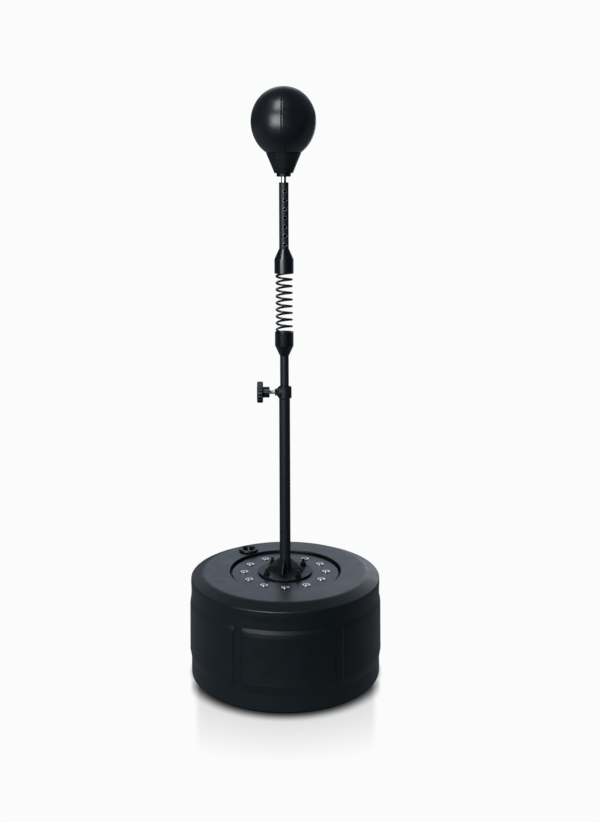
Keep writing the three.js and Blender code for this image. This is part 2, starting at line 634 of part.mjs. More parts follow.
add('neck_ring', ring(STUD.r + WELD, NECK_RING.r, NECK_RING.bottomZ, NECK_RING.topZ), RUBBER);
add('neck_cup', neckCup(), RUBBER);
add('anchor_insert', anchorInsert(), BRIGHT_STEEL);
add('ball_cover', ballCover(), LEATHER);
add('bladder', bladder(), RUBBER);
add('bladder_valve', bladderValve(), RUBBER);

export default object;
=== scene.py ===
"""Surfaces, finishes, light and camera of a free-standing reflex ball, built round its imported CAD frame.

Lengths are millimetres in the shape code and metres everywhere else. The pole's axis is x = y = 0, the
floor is z = 0 and the front of the object faces -Y. Angles round the pole start at the front and turn
towards +X.
"""

import json
import math

import bpy
import numpy as np
from mathutils import Matrix, Vector

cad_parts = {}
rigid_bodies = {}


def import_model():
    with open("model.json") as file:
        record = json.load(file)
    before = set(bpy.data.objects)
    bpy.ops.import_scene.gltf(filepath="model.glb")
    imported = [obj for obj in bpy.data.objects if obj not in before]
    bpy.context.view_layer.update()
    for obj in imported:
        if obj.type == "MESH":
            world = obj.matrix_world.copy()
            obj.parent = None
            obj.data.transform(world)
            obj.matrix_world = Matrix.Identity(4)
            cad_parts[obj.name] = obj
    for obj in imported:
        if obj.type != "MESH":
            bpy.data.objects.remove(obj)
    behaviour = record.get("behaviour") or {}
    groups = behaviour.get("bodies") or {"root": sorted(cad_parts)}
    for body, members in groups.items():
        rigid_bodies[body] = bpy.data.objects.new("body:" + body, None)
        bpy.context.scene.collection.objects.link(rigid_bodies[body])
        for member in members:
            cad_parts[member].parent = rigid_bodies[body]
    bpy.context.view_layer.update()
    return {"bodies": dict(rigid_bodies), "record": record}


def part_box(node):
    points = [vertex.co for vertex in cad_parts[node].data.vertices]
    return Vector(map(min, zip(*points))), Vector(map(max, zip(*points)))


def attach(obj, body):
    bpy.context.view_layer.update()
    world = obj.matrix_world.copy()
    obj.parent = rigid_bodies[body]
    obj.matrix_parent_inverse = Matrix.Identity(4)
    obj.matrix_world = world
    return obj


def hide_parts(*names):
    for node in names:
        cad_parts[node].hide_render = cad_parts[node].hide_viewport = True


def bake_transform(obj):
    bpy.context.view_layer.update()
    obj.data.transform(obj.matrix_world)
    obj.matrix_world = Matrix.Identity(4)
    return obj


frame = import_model()

MM = 0.001


# ---- Shape tools ----

def box(node):
    """Lowest and highest corner of a CAD node, in millimetres."""
    low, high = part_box(node)
    return low / MM, high / MM


def smooth_step(x, start, end):
    t = np.clip((x - start) / (end - start), 0, 1)
    return t * t * (3 - 2 * t)


def rounded(points, steps=6):
    """A profile whose corners are rounded: each point is (r, z), or (r, z, radius) for a round corner."""
    profile = []
    for i, point in enumerate(points):
        here = Vector(point[:2])
        if len(point) == 2:
            profile.append(here)
            continue
        to_last = Vector(points[i - 1][:2]) - here
        to_next = Vector(points[(i + 1) % len(points)][:2]) - here
        half = to_last.angle(to_next) / 2
        longest = 0.45 * min(to_last.length, to_next.length)
        reach = min(point[2] / math.tan(half), longest)
        radius = reach * math.tan(half)
        to_last.normalize()
        to_next.normalize()
        centre = here + (to_last + to_next).normalized() * radius / math.sin(half)
        first = here + to_last * reach - centre
        last = here + to_next * reach - centre
        turn = math.atan2(first.cross(last), first.dot(last))
        support = min(0.15 * reach, longest - reach)
        profile.append(here + to_last * (reach + support))
        for k in range(steps + 1):
            profile.append(centre + Matrix.Rotation(turn * k / steps, 2) @ first)
        profile.append(here + to_next * (reach + support))
    return [tuple(p) for p in profile]


def new_piece(name, points, faces, sharp=38):
    """A smooth mesh from points in millimetres. Edges bent more than `sharp` degrees stay crisp."""
    mesh = bpy.data.meshes.new(name)
    mesh.from_pydata((np.asarray(points, float) * MM).tolist(), [], faces)
    piece = bpy.data.objects.new(name, mesh)
    bpy.context.collection.objects.link(piece)
    return shaded(piece, sharp)


def shaded(piece, sharp=38):
    piece.data.validate()
    piece.data.shade_smooth()
    piece.data.set_sharp_from_angle(angle=math.radians(sharp))
    return piece


def bands(index):
    """Faces between neighbouring rows of a grid of point numbers whose rows close on themselves."""
    beside = np.roll(index, -1, axis=1)
    return np.stack([index[:-1], beside[:-1], beside[1:], index[1:]], axis=-1).reshape(-1, 4).tolist()


def ends(index):
    """Flat faces on the first and the last row of such a grid."""
    return [index[0][::-1].tolist(), index[-1].tolist()]


def turned(name, profile, columns=96, shape=None, sharp=38):
    """A solid of revolution about +Z. Its [r, z] points start and end on the axis or close on themselves.

    The solid lies to the left of the profile. `columns` is a count or the angles themselves.
    `shape(angle, r, z)` may return other radii and heights for the whole grid of rows and columns.
    """
    angles = np.linspace(0, 2 * np.pi, columns, endpoint=False) if isinstance(columns, int) else columns
    r, z = np.array(profile, float).T
    closed = r[0] > 0
    angle, radius = np.meshgrid(angles, r)
    height = np.repeat(z[:, None], len(angles), axis=1)
    if shape:
        radius, height = shape(angle, radius, height)
    grid = np.stack([radius * np.sin(angle), -radius * np.cos(angle), height], axis=-1)
    rows, count = grid.shape[:2]
    if not closed:
        points = np.vstack([grid[0, :1], grid[1:-1].reshape(-1, 3), grid[-1, :1]])
        first_row, row_count = 1, rows - 2
    else:
        points = grid.reshape(-1, 3)
        first_row, row_count = 0, rows
    index = first_row + np.arange(row_count * count).reshape(row_count, count)
    if closed:
        index = np.vstack([index, index[:1]])
    faces = bands(index)
    if not closed:
        last = len(points) - 1
        faces += [(0, int(b), int(a)) for a, b in zip(index[0], np.roll(index[0], -1))]
        faces += [(int(a), int(b), last) for a, b in zip(index[-1], np.roll(index[-1], -1))]
    return new_piece(name, points, faces, sharp)


def swept(path, radius, sides=12, closed=False):
    """Points and faces of a round wire along a path. `radius` is one number or one for each point."""
    path = np.asarray(path, float)
    if closed:
        ahead = np.roll(path, -1, axis=0) - np.roll(path, 1, axis=0)
    else:
        ahead = np.gradient(path, axis=0)
    ahead /= np.linalg.norm(ahead, axis=1)[:, None]
    across = np.cross(ahead, [0, 0, 1])
    flat = np.linalg.norm(across, axis=1) < 0.1
    across[flat] = np.cross(ahead[flat], [0, 1, 0])
    across /= np.linalg.norm(across, axis=1)[:, None]
    other = np.cross(ahead, across)
    turn = np.linspace(0, 2 * np.pi, sides, endpoint=False)
    reach = np.broadcast_to(np.asarray(radius, float), (len(path),))[:, None, None]
    ring = across[:, None] * np.cos(turn)[None, :, None] + other[:, None] * np.sin(turn)[None, :, None]
    points = (path[:, None] + ring * reach).reshape(-1, 3)
    index = np.arange(len(points)).reshape(len(path), sides)
    if closed:
        index = np.vstack([index, index[:1]])
    return points, bands(index) + ([] if closed else ends(index))


def gathered(name, parts, sharp=38):
    """One piece from several (points, faces) parts."""
    points = []
    faces = []
    for part_points, part_faces in parts:
        start = sum(len(p) for p in points)
        points.append(np.asarray(part_points, float))
        faces += [[start + int(i) for i in face] for face in part_faces]
    return new_piece(name, np.vstack(points), faces, sharp)


def lofted(name, outlines, sharp=38):
    """A closed solid through outlines of equal length, each a list of [x, y] at a height."""
    points = [(x, y, z) for outline, z in outlines for x, y in outline]
    count = len(outlines[0][0])
    index = np.arange(len(points)).reshape(len(outlines), count)
    return new_piece(name, points, bands(index) + ends(index), sharp)


def placed(piece, matrix):
    """Moves a piece's own points by a matrix whose lengths are millimetres."""
    matrix = matrix.copy()
    matrix.translation = matrix.translation * MM
    piece.data.transform(matrix)
    return piece


def spot(x, y, degrees=0):
    """A place in plan, and a turn about +Z there."""
    return Matrix.Translation((x, y, 0)) @ Matrix.Rotation(math.radians(degrees), 4, "Z")


def across_pole(piece, height):
    """Lays a piece drawn along +Z, as distance from the pole, along -X at a height."""
    return placed(piece, Matrix.Translation((0, 0, height)) @ Matrix.Rotation(-math.pi / 2, 4, "Y"))


def with_modifier(piece, kind, **settings):
    """Applies one modifier to a piece's mesh."""
    modifier = piece.modifiers.new(kind.lower(), kind)
    for key, value in settings.items():
        setattr(modifier, key, value)
    result = bpy.data.meshes.new_from_object(piece.evaluated_get(bpy.context.evaluated_depsgraph_get()))
    piece.modifiers.clear()
    old = piece.data
    piece.data = result
    bpy.data.meshes.remove(old)


def combined(piece, other, operation):
    """Joins `other` to a piece, or cuts it from the piece, and removes `other`."""
    with_modifier(piece, "BOOLEAN", object=other, operation=operation, solver="EXACT")
    bpy.data.objects.remove(other)
    shaded(piece)


def rod_at(name, x, y, radius, low, high, columns=48):
    rod = turned(name, [(0, low), (radius, low), (radius, high), (0, high)], columns)
    return placed(rod, spot(x, y))


def drilled(piece, places, radius, low, high):
    """Upright holes through a piece."""
    for x, y in places:
        combined(piece, rod_at("drill", x, y, radius, low, high), "DIFFERENCE")


def thread(outer, depth, pitch, low, high):
    """A shape for turned(): a helical groove on the rows of radius `outer`, fading out at both ends."""
    def shape(angle, r, z):
        phase = (z / pitch - angle / (2 * np.pi)) % 1
        groove = np.abs(2 * phase - 1)
        fade = smooth_step(z, low, low + pitch) * (1 - smooth_step(z, high - pitch, high))
        return np.where(np.abs(r - outer) < 1e-6, r - depth * groove * fade, r), z
    return shape


def threaded_rod(name, radius, low, high, pitch, depth=0.55, end=0.8, columns=36):
    steps = int((high - low - 2 * end) / (pitch / 6))
    side = [(radius, z) for z in np.linspace(low + end, high - end, steps)]
    profile = [(0, low), (radius - end, low), *side, (radius - end, high), (0, high)]
    return turned(name, profile, columns, thread(radius, depth, pitch, low + end, high - end), sharp=60)


def hex_nut(name, flats, bore, low, high):
    """A hexagonal nut with chamfered corners and a countersunk bore."""
    columns_per_side = 12
    corner = flats / math.sqrt(3)
    chamfer = corner - flats / 2 + 0.2
    ease = chamfer * math.tan(math.radians(30))
    edge = 0.25
    profile = [
        (bore + 0.5, low), (corner - chamfer, low), (corner, low + ease), (corner, low + ease + edge),
        (corner, high - ease - edge), (corner, high - ease), (corner - chamfer, high), (bore + 0.5, high),
        (bore, high - 0.5), (bore, low + 0.5),
    ]

    def shape(angle, r, z):
        side = (angle + np.pi / 6) % (np.pi / 3) - np.pi / 6
        return np.minimum(r, np.where(r > bore + 0.6, flats / 2 / np.cos(side), r)), z
    return turned(name, profile, 6 * columns_per_side, shape, sharp=25)


def shown(piece, body, slot, *nodes):
    """Gives a piece the finish of its slot and puts it on its body, in place of its CAD nodes."""
    piece.data.materials.clear()
    piece.data.materials.append(FINISHES[slot])
    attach(piece, body)
    if nodes:
        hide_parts(*nodes)


# ---- Finishes ----

CELL_SMOOTHNESS = 0.6
WORN_EDGE = (0.53, 0.62)  # pointiness at which a convex edge starts to show wear and is fully worn
# Painted shade in hollows: how steeply it deepens, and the dark colour painted there.
SHELTER_POWER = 1.6
PAINTED_SHADE_COLOR = (0.0008, 0.0009, 0.0010)


class NodeTree:
    """Shorthand for the nodes of a material or world. Sockets are linked, numbers and tuples are set."""

    def __init__(self, owner):
        owner.use_nodes = True
        self.nodes = owner.node_tree.nodes
        self.links = owner.node_tree.links

    def feed(self, socket, source):
        if isinstance(source, (int, float, tuple)):
            socket.default_value = source
        else:
            self.links.new(source, socket)

    def add(self, kind, *sources, **settings):
        """A new node with its first inputs fed in order."""
        node = self.nodes.new("ShaderNode" + kind)
        for key, value in settings.items():
            setattr(node, key, value)
        for socket, source in zip(node.inputs, sources):
            self.feed(socket, source)
        return node

    def fed(self, kind, named, **settings):
        """A new node with the named inputs fed."""
        node = self.add(kind, **settings)
        for key, source in named.items():
            self.feed(node.inputs[key], source)
        return node

    def math(self, operation, first, second):
        return self.add("Math", first, second, operation=operation).outputs[0]

    def times(self, first, second):
        return self.math("MULTIPLY", first, second)

    def vector(self, operation, *sources):
        node = self.add("VectorMath", *sources, operation=operation)
        return node.outputs["Value" if operation in ("LENGTH", "DOT_PRODUCT") else "Vector"]

    def remap(self, source, start, end, at_start, at_end, kind="LINEAR"):
        """`at_start` where the source is `start`, `at_end` where it is `end`, and held beyond both."""
        keys = ("Value", "From Min", "From Max", "To Min", "To Max")
        named = dict(zip(keys, (source, start, end, at_start, at_end)))
        return self.fed("MapRange", named, interpolation_type=kind).outputs["Result"]

    def ease(self, source, start, end, at_start, at_end):
        """As remap(), with a smooth start and end."""
        return self.remap(source, start, end, at_start, at_end, "SMOOTHSTEP")


class Finish(NodeTree):
    """A procedural material: mottled colour, uneven roughness, grain, slow ripples, worn edges, painted
    shade in hollows.
    """

    def __init__(self, name, color, roughness, metallic=0.0):
        self.material = bpy.data.materials.new(name)
        super().__init__(self.material)
        self.shader = self.nodes["Principled BSDF"]
        self.coords = self.add("TexCoord").outputs["Object"]
        self.color = self.rgb(color)
        self.roughness = self.value(roughness)
        self.shader.inputs["Metallic"].default_value = metallic
        self.normal = None

    def rgb(self, color):
        output = self.add("RGB").outputs[0]
        output.default_value = (*color, 1)
        return output

    def value(self, number):
        output = self.add("Value").outputs[0]
        output.default_value = number
        return output

    def noise(self, size, detail=3.0, stretch=(1, 1, 1)):
        """Noise between 0 and 1 whose patches are about `size` metres across."""
        place = self.fed("Mapping", {"Scale": stretch, "Vector": self.coords}).outputs[0]
        return self.fed("TexNoise", {"Scale": 1 / size, "Detail": detail, "Vector": place}).outputs["Fac"]

    def cells(self, size):
        """Distance inside rounded cells of about `size` metres, as in pebbled leather."""
        named = {"Scale": 1 / size, "Smoothness": CELL_SMOOTHNESS, "Vector": self.coords}
        return self.fed("TexVoronoi", named, feature="SMOOTH_F1").outputs["Distance"]

    def mix(self, factor, first, second):
        node = self.add("Mix", data_type="RGBA")
        for key, source in (("Factor", factor), ("A", first), ("B", second)):
            self.links.new(source, node.inputs[key])
        return node.outputs["Result"]

    def mottled(self, size, amount, other):
        """Drifts the colour towards another over patches."""
        factor = self.remap(self.noise(size), 0.35, 0.65, 0, amount)
        self.color = self.mix(factor, self.color, self.rgb(other))
        return self

    def uneven(self, size, amount, stretch=(1, 1, 1)):
        """Varies the roughness up and down by an amount."""
        drift = self.remap(self.noise(size, 4, stretch), 0.3, 0.7, -amount, amount)
        self.roughness = self.math("ADD", self.roughness, drift)
        return self

    def bumped(self, height, strength, source):
        """Raises the surface by `height` metres where the source is 1."""
        named = {"Strength": strength, "Distance": height, "Height": source}
        if self.normal:
            named["Normal"] = self.normal
        self.normal = self.fed("Bump", named).outputs["Normal"]
        return self

    def grained(self, size, height, strength=0.5, stretch=(1, 1, 1)):
        return self.bumped(height, strength, self.noise(size, 2, stretch))

    def pebbled(self, size, height, strength=0.5):
        return self.bumped(height, strength, self.cells(size))

    def worn(self, color, roughness, amount, patch=0.004):
        """Rubs the convex edges through to another colour, in patches."""
        edge = self.remap(self.add("NewGeometry").outputs["Pointiness"], *WORN_EDGE, 0, 1)
        patchy = self.remap(self.noise(patch), 0.4, 0.65, 0, amount)
        factor = self.times(edge, patchy)
        self.color = self.mix(factor, self.color, self.rgb(color))
        change = self.times(factor, roughness)
        self.roughness = self.math("ADD", self.roughness, change)
        return self

    def sheltered(self, reach, shine=0.5):
        """Paints shade within `reach` metres inside a gap or a corner: darker colour and less reflection
        where occluded.
        """
        openness = self.fed("AmbientOcclusion", {"Distance": reach}, samples=8).outputs["AO"]
        open_sky = self.math("POWER", openness, SHELTER_POWER)
        self.color = self.mix(open_sky, self.rgb(PAINTED_SHADE_COLOR), self.color)
        self.links.new(self.times(open_sky, shine), self.shader.inputs["Specular IOR Level"])
        return self

    def done(self, **inputs):
        for key, value in inputs.items():
            self.shader.inputs[key.replace("_", " ")].default_value = value
        self.links.new(self.color, self.shader.inputs["Base Color"])
        self.links.new(self.roughness, self.shader.inputs["Roughness"])
        if self.normal:
            self.links.new(self.normal, self.shader.inputs["Normal"])
        return self.material


FINISHES = {}


def finish(color, roughness, metallic=0.0):
    """Lets a function work on a new finish of its own name, and keeps the result in FINISHES."""
    def kept(make):
        FINISHES[make.__name__] = make(Finish(make.__name__, color, roughness, metallic))
        return make
    return kept


# Finishes that call the hollow-shade step get shade painted into their gaps, corners and pockets.
@finish((0.0042, 0.0072, 0.0092), 0.38)
def moulded_drum(look):
    look.mottled(0.09, 0.5, (0.0052, 0.0086, 0.0110)).uneven(0.035, 0.03).uneven(0.004, 0.02)
    look.grained(0.07, 0.0004, 0.08).grained(0.0011, 0.00005, 0.25)
    look.worn((0.020, 0.026, 0.031), 0.05, 0.30, 0.012)
    return look.sheltered(0.010).done(IOR=1.5)


@finish((0.0040, 0.0052, 0.0064), 0.42)
def moulded_cap(look):
    look.mottled(0.012, 0.5, (0.006, 0.0078, 0.0092)).uneven(0.006, 0.05)
    look.grained(0.0007, 0.00003, 0.2).worn((0.03, 0.036, 0.042), 0.05, 0.4)
    return look.sheltered(0.012).done()


@finish((0.0045, 0.0058, 0.0075), 0.36)
def moulded_knob(look):
    look.mottled(0.030, 0.5, (0.0056, 0.0070, 0.0090)).uneven(0.012, 0.02)
    return look.grained(0.0009, 0.00001, 0.10).done()


@finish((0.0060, 0.0084, 0.0116), 0.46)
def powder_coat(look):
    look.mottled(0.05, 0.5, (0.0075, 0.0102, 0.0136)).uneven(0.020, 0.02)
    return look.grained(0.0009, 0.00001, 0.10).sheltered(0.010, 0.36).done()


@finish((0.30, 0.32, 0.35), 0.36, 0.8)
def rubbed_coat(look):
    look.mottled(0.004, 0.5, (0.14, 0.15, 0.17)).uneven(0.003, 0.08)
    return look.grained(0.0006, 0.00001, 0.2).done()


@finish((0.0040, 0.0054, 0.0074), 0.20)
def gloss_paint(look):
    look.mottled(0.03, 0.4, (0.0054, 0.0070, 0.0090)).uneven(0.020, 0.02, (1, 1, 0.3))
    return look.grained(0.010, 0.00001, 0.10, (1, 1, 0.2)).done()


@finish((0.0040, 0.0054, 0.0072), 0.30)
def spring_wire(look):
    look.mottled(0.020, 0.5, (0.0056, 0.0072, 0.0092)).uneven(0.010, 0.03)
    return look.grained(0.0012, 0.00001, 0.10).done()


@finish((0.0022, 0.0026, 0.0032), 0.50)
def black_steel(look):
    look.mottled(0.004, 0.6, (0.0050, 0.0054, 0.0060)).uneven(0.003, 0.06)
    return look.grained(0.0006, 0.00002, 0.2).sheltered(0.006, 0.2).done()


@finish((0.64, 0.61, 0.57), 0.24, 1.0)
def bright_steel(look):
    look.mottled(0.004, 0.6, (0.42, 0.40, 0.37)).uneven(0.003, 0.08)
    return look.grained(0.0005, 0.00002, 0.3).worn((0.8, 0.76, 0.7), -0.05, 0.5, 0.002).done()


@finish((0.60, 0.42, 0.18), 0.30, 1.0)
def brass(look):
    look.mottled(0.002, 0.5, (0.42, 0.29, 0.13)).uneven(0.002, 0.10)
    return look.grained(0.0004, 0.00002, 0.4).done()


@finish((0.70, 0.67, 0.58), 0.45)
def nylon(look):
    look.mottled(0.010, 0.4, (0.60, 0.57, 0.48)).uneven(0.006, 0.08)
    return look.grained(0.0010, 0.00004, 0.3).done(Subsurface_Weight=0.1)


@finish((0.0065, 0.0068, 0.0075), 0.65)
def seal_rubber(look):
    look.mottled(0.006, 0.6, (0.011, 0.011, 0.012)).uneven(0.004, 0.08)
    return look.grained(0.0006, 0.00005, 0.4).done()


@finish((0.0030, 0.0044, 0.0060), 0.50)
def cup_rubber(look):
    look.mottled(0.030, 0.5, (0.0040, 0.0056, 0.0074)).uneven(0.012, 0.04)
    look.grained(0.0010, 0.00002, 0.15)
    return look.worn((0.02, 0.022, 0.025), 0.1, 0.3, 0.006).sheltered(0.004, 0.28).done()


@finish((0.0042, 0.0058, 0.0082), 0.30)
def ball_leather(look):
    look.mottled(0.030, 0.5, (0.0056, 0.0074, 0.0100)).uneven(0.020, 0.03).uneven(0.003, 0.02)
    look.grained(0.028, 0.0005, 0.08).pebbled(0.0016, 0.00005, 0.20).grained(0.0005, 0.00002, 0.20)
    return look.sheltered(0.005).done(Sheen_Weight=0.03, Sheen_Roughness=0.5)


# ---- Drum base ----

PANELS = 6
GAP_ANGLE = 31.8       # degrees from the front to the middle of the first gap between two panels
GAP_HALF_FLOOR = 2.05  # degrees from the middle of a gap to the foot of its wall
GAP_HALF_WIDTH = 3.25  # degrees from the middle of a gap to the top of its wall
PANEL_FOLD, PANEL_BOTTOM, PANEL_BEND, PANEL_TOP = 46.5, 68.5, 190.0, 209.0
PANEL_MIDDLE, BAND_Z, FLARE_Z, SHOULDER_Z = 130.0, 228.0, 245.0, 256.5
ROOF_R = 195.0
TOP_R, RIM_R, RECESS_R, MOUTH_R = 224.0, 155.0, 152.5, 95.0
DRUM_WALL = 4.0
FILL_HOLE_R, FILL_NECK_R, FILL_NECK_DEPTH = 19.0, 23.0, 14.0

drum_high = box("base_drum")[1]
drum_r = drum_high.x
foot_r = drum_r - 4
band_r = drum_r - 3.3
drum_top = drum_high.z
lid_low, lid_high = box("lid_disc")
shelf_z = box("lid_gasket")[0].z - 0.2
cap_low, cap_high = box("fill_cap")
cap_x, cap_y = (cap_low.x + cap_high.x) / 2, (cap_low.y + cap_high.y) / 2


def panel_angles():
    """Columns round the drum, set close together where the gap walls bend."""
    pitch = 360 / PANELS
    wall = np.linspace(GAP_HALF_FLOOR, GAP_HALF_WIDTH, 8)
    floor = np.linspace(-GAP_HALF_FLOOR, GAP_HALF_FLOOR, 6)[1:-1]
    panel = np.linspace(GAP_HALF_WIDTH, pitch - GAP_HALF_WIDTH, 26)[1:-1]
    one = np.concatenate([-wall[::-1], floor, wall, panel])
    return np.radians(np.sort(np.concatenate([GAP_ANGLE + pitch * k + one for k in range(PANELS)]) % 360))


def drum_profile(panel_r, bend_r):
    """The drum's outside at a panel radius, then its hollow inside. Every radius gives equal rows."""
    inner = foot_r - DRUM_WALL
    return rounded([
        (0, 0), (foot_r, 0, 7), (foot_r, PANEL_FOLD, 9), (panel_r - 0.4, PANEL_BOTTOM - 1.5, 1.2),
        (panel_r + 0.3, PANEL_BOTTOM + 1.5, 1.5), (panel_r, PANEL_BOTTOM + 5), (panel_r, PANEL_MIDDLE),
        (panel_r, PANEL_BEND, 12), (bend_r, (PANEL_BEND + PANEL_TOP) / 2, 7), (band_r, PANEL_TOP, 1.4),
        (band_r, BAND_Z, 30), (band_r + 0.9, FLARE_Z, 12), (band_r + 0.6, SHOULDER_Z, 2.6),
        (TOP_R, drum_top, 30), (ROOF_R, drum_top), (RIM_R - 2.5, drum_top, 2.2),
        (RECESS_R, shelf_z, 1.5), (MOUTH_R, shelf_z, 1), (MOUTH_R, shelf_z - DRUM_WALL, 1),
        (RECESS_R + DRUM_WALL, shelf_z - DRUM_WALL, 1.5),
        (RECESS_R + DRUM_WALL, drum_top - DRUM_WALL, 1.5),
        (TOP_R - 2, drum_top - DRUM_WALL, 5), (inner, SHOULDER_Z - DRUM_WALL, 5), (inner, DRUM_WALL, 7),
        (0, DRUM_WALL),
    ])


def drum():
    sunk = drum_profile(foot_r + 0.3, foot_r + 0.5)
    proud = drum_profile(drum_r, drum_r - 1)
    sunk_r = np.array(sunk)[:, 0][:, None]

    def relief(angle, r, z):
        pitch = 2 * np.pi / PANELS
        from_gap = np.abs((angle - math.radians(GAP_ANGLE) + pitch / 2) % pitch - pitch / 2)
        share = smooth_step(np.degrees(from_gap), GAP_HALF_FLOOR, GAP_HALF_WIDTH)
        return sunk_r + (r - sunk_r) * share, z

    body = turned("drum_body", proud, panel_angles(), relief)
    neck_low = drum_top - FILL_NECK_DEPTH
    neck = rod_at("neck", cap_x, cap_y, FILL_NECK_R, neck_low, drum_top - DRUM_WALL + 1, 64)
    combined(body, neck, "UNION")
    drilled(body, [(cap_x, cap_y)], FILL_HOLE_R, neck_low - 1, drum_top + 1)
    shown(body, "base", "moulded_drum", "base_drum")


BOLT_HOLE_R, BOLT_HEAD, NUT_FLATS, NUT_BORE = 4.6, 5.3, 13, 4.3
LID_HOLE_R = 3.1


def centres(node_pattern, count):
    """Centres in plan of a row of numbered CAD nodes."""
    boxes = [box(node_pattern.format(i + 1)) for i in range(count)]
    return [((low.x + high.x) / 2, (low.y + high.y) / 2) for low, high in boxes]


LID_SCREWS = centres("lid_screw_{:02d}", 12)
FLANGE_BOLTS = centres("flange_bolt_{}", 4)


def lid():
    radius = lid_high.x
    disc = turned("drum_lid", rounded([
        (0, lid_low.z), (radius, lid_low.z, 0.8), (radius, lid_high.z, 1.6), (131, lid_high.z),
        (60, lid_high.z), (0, lid_high.z),
    ]), 144)
    drilled(disc, LID_SCREWS, LID_HOLE_R, lid_low.z - 1, lid_high.z + 1)
    drilled(disc, FLANGE_BOLTS, BOLT_HOLE_R, lid_low.z - 1, lid_high.z + 1)
    shown(disc, "base", "moulded_drum", "lid_disc")


def lid_screw(number, x, y):
    """A domed socket screw with a captive washer, its hexagonal socket at a different turn on each."""
    low, high = box(f"lid_screw_{number:02d}")
    seat, top = lid_high.z + 0.2, high.z
    washer_r = (high.x - low.x) / 2
    screw = turned(f"lid_fastener_{number:02d}", rounded([
        (0, low.z), (2.1, low.z, 0.3), (2.5, low.z + 0.6), (2.5, seat, 0.2), (washer_r, seat, 0.3),
        (washer_r, seat + 1.3, 0.5), (7.4, seat + 1.7, 0.3), (6.1, seat + 1.7, 0.3),
        (5.9, seat + 2.9, 0.8), (4.2, top - 0.1, 1.2), (0, top),
    ], 4), 60)
    socket = turned("socket", [(0, top - 2.4), (2.9, top - 2.4), (2.9, top + 1), (0, top + 1)], 6)
    combined(screw, socket, "DIFFERENCE")
    placed(screw, spot(x, y, 17 * (number - 1) % 60))
    shown(screw, "base", "bright_steel", f"lid_screw_{number:02d}")


drum()
lid()
for number, (screw_x, screw_y) in enumerate(LID_SCREWS, 1):
    lid_screw(number, screw_x, screw_y)


# ---- Fill cap ----

CAP_TURN = 97         # degrees from +X to the grip bar
CAP_R, CAP_TOP_R, PLUG_R, PLUG_LENGTH = 27.0, 25.8, 18.0, 13.0
POCKET_R, POCKET_DEPTH, WELL_R, WELL_DEPTH, GRIP_HALF = 19.5, 2.6, 15.5, 11.0, 2.3
SEAL_BORE = 18.6


def half_disc(radius, half, low_side):
    """The outline of a disc segment beyond y = half, or its mirror image."""
    edge = math.asin(min(half / radius, 0.99))
    turns = np.linspace(edge, math.pi - edge, 36) + (math.pi if low_side else 0)
    return [(radius * math.cos(t), radius * math.sin(t)) for t in turns]


def pocket(top, low_side):
    """A cutter for one pocket: a deep well under a shallower step, with a flared, rounded rim."""
    floor, step = top - WELL_DEPTH, top - POCKET_DEPTH
    levels = [(floor, WELL_R - 1, 1), (floor + 0.3, WELL_R - 0.3, 0.3), (floor + 1, WELL_R, 0)]
    levels += [(step - 0.7, WELL_R + 0.4, 0), (step, WELL_R + 1.2, 0), (step + 0.2, POCKET_R - 0.9, 0)]
    levels += [(step + 0.8, POCKET_R - 0.1, 0), (top - 0.7, POCKET_R, 0)]
    levels += [(top - 0.3, POCKET_R + 0.2, -0.2), (top - 0.05, POCKET_R + 0.6, -0.6)]
    levels += [(top + above, POCKET_R + 0.8, -0.8) for above in (0.05, 1)]
    outlines = [(half_disc(radius, GRIP_HALF + inset, low_side), z) for z, radius, inset in levels]
    return lofted("pocket", outlines)


def fill_cap():
    under = cap_low.z + PLUG_LENGTH
    top = cap_high.z
    steps = int((PLUG_LENGTH - 2) / 0.4)
    plug = [(PLUG_R - 0.15, z) for z in np.linspace(cap_low.z + 1, under - 1, steps)]
    crown = rounded([
        (PLUG_R - 1, under), (CAP_R, under, 0.6), (CAP_R, under + 1.5, 0.8), (CAP_TOP_R, top, 1.0),
        (10, top), (0, top),
    ])[1:]
    profile = [(0, cap_low.z), (PLUG_R - 1.2, cap_low.z), *plug, (PLUG_R - 1, under - 0.4), *crown]
    cap = turned("filler_cap", profile, 96, thread(PLUG_R - 0.15, 0.9, 3, cap_low.z + 1, under - 1))
    for low_side in (False, True):
        combined(cap, pocket(top, low_side), "DIFFERENCE")
    placed(cap, spot(cap_x, cap_y, CAP_TURN))
    shown(cap, "cap", "moulded_cap", "fill_cap")


def cap_seal():
    low, high = box("fill_cap_seal")
    outer = (high.x - low.x) / 2
    ring = turned("filler_cap_seal", rounded([
        (SEAL_BORE, low.z, 0.6), (outer, low.z, 0.7), (outer, high.z, 0.7), (SEAL_BORE, high.z, 0.6),
    ]), 72)
    placed(ring, spot(cap_x, cap_y))
    shown(ring, "cap_seal", "seal_rubber", "fill_cap_seal")


fill_cap()
cap_seal()


# ---- Pole flange, ribs, welds and bolts ----

FLANGE_TURN = -10
flange_low, flange_high = box("flange_plate")
post_low, post_high = box("outer_tube")
post_r = post_high.x
RIB_REACH, RIB_HEIGHT, RIB_TOE, RIB_TOP, RIB_THICK = 49.0, 31.0, 5.0, 5.0, 3.7


def flange():
    radius = flange_high.x
    plate = turned("pole_flange", rounded([
        (0, flange_low.z), (radius, flange_low.z, 0.6), (radius, flange_high.z, 1.1), (40, flange_high.z),
        (0, flange_high.z),
    ]), 144)
    drilled(plate, FLANGE_BOLTS, BOLT_HOLE_R, flange_low.z - 1, flange_high.z + 1)
    shown(plate, "base", "powder_coat", "flange_plate")


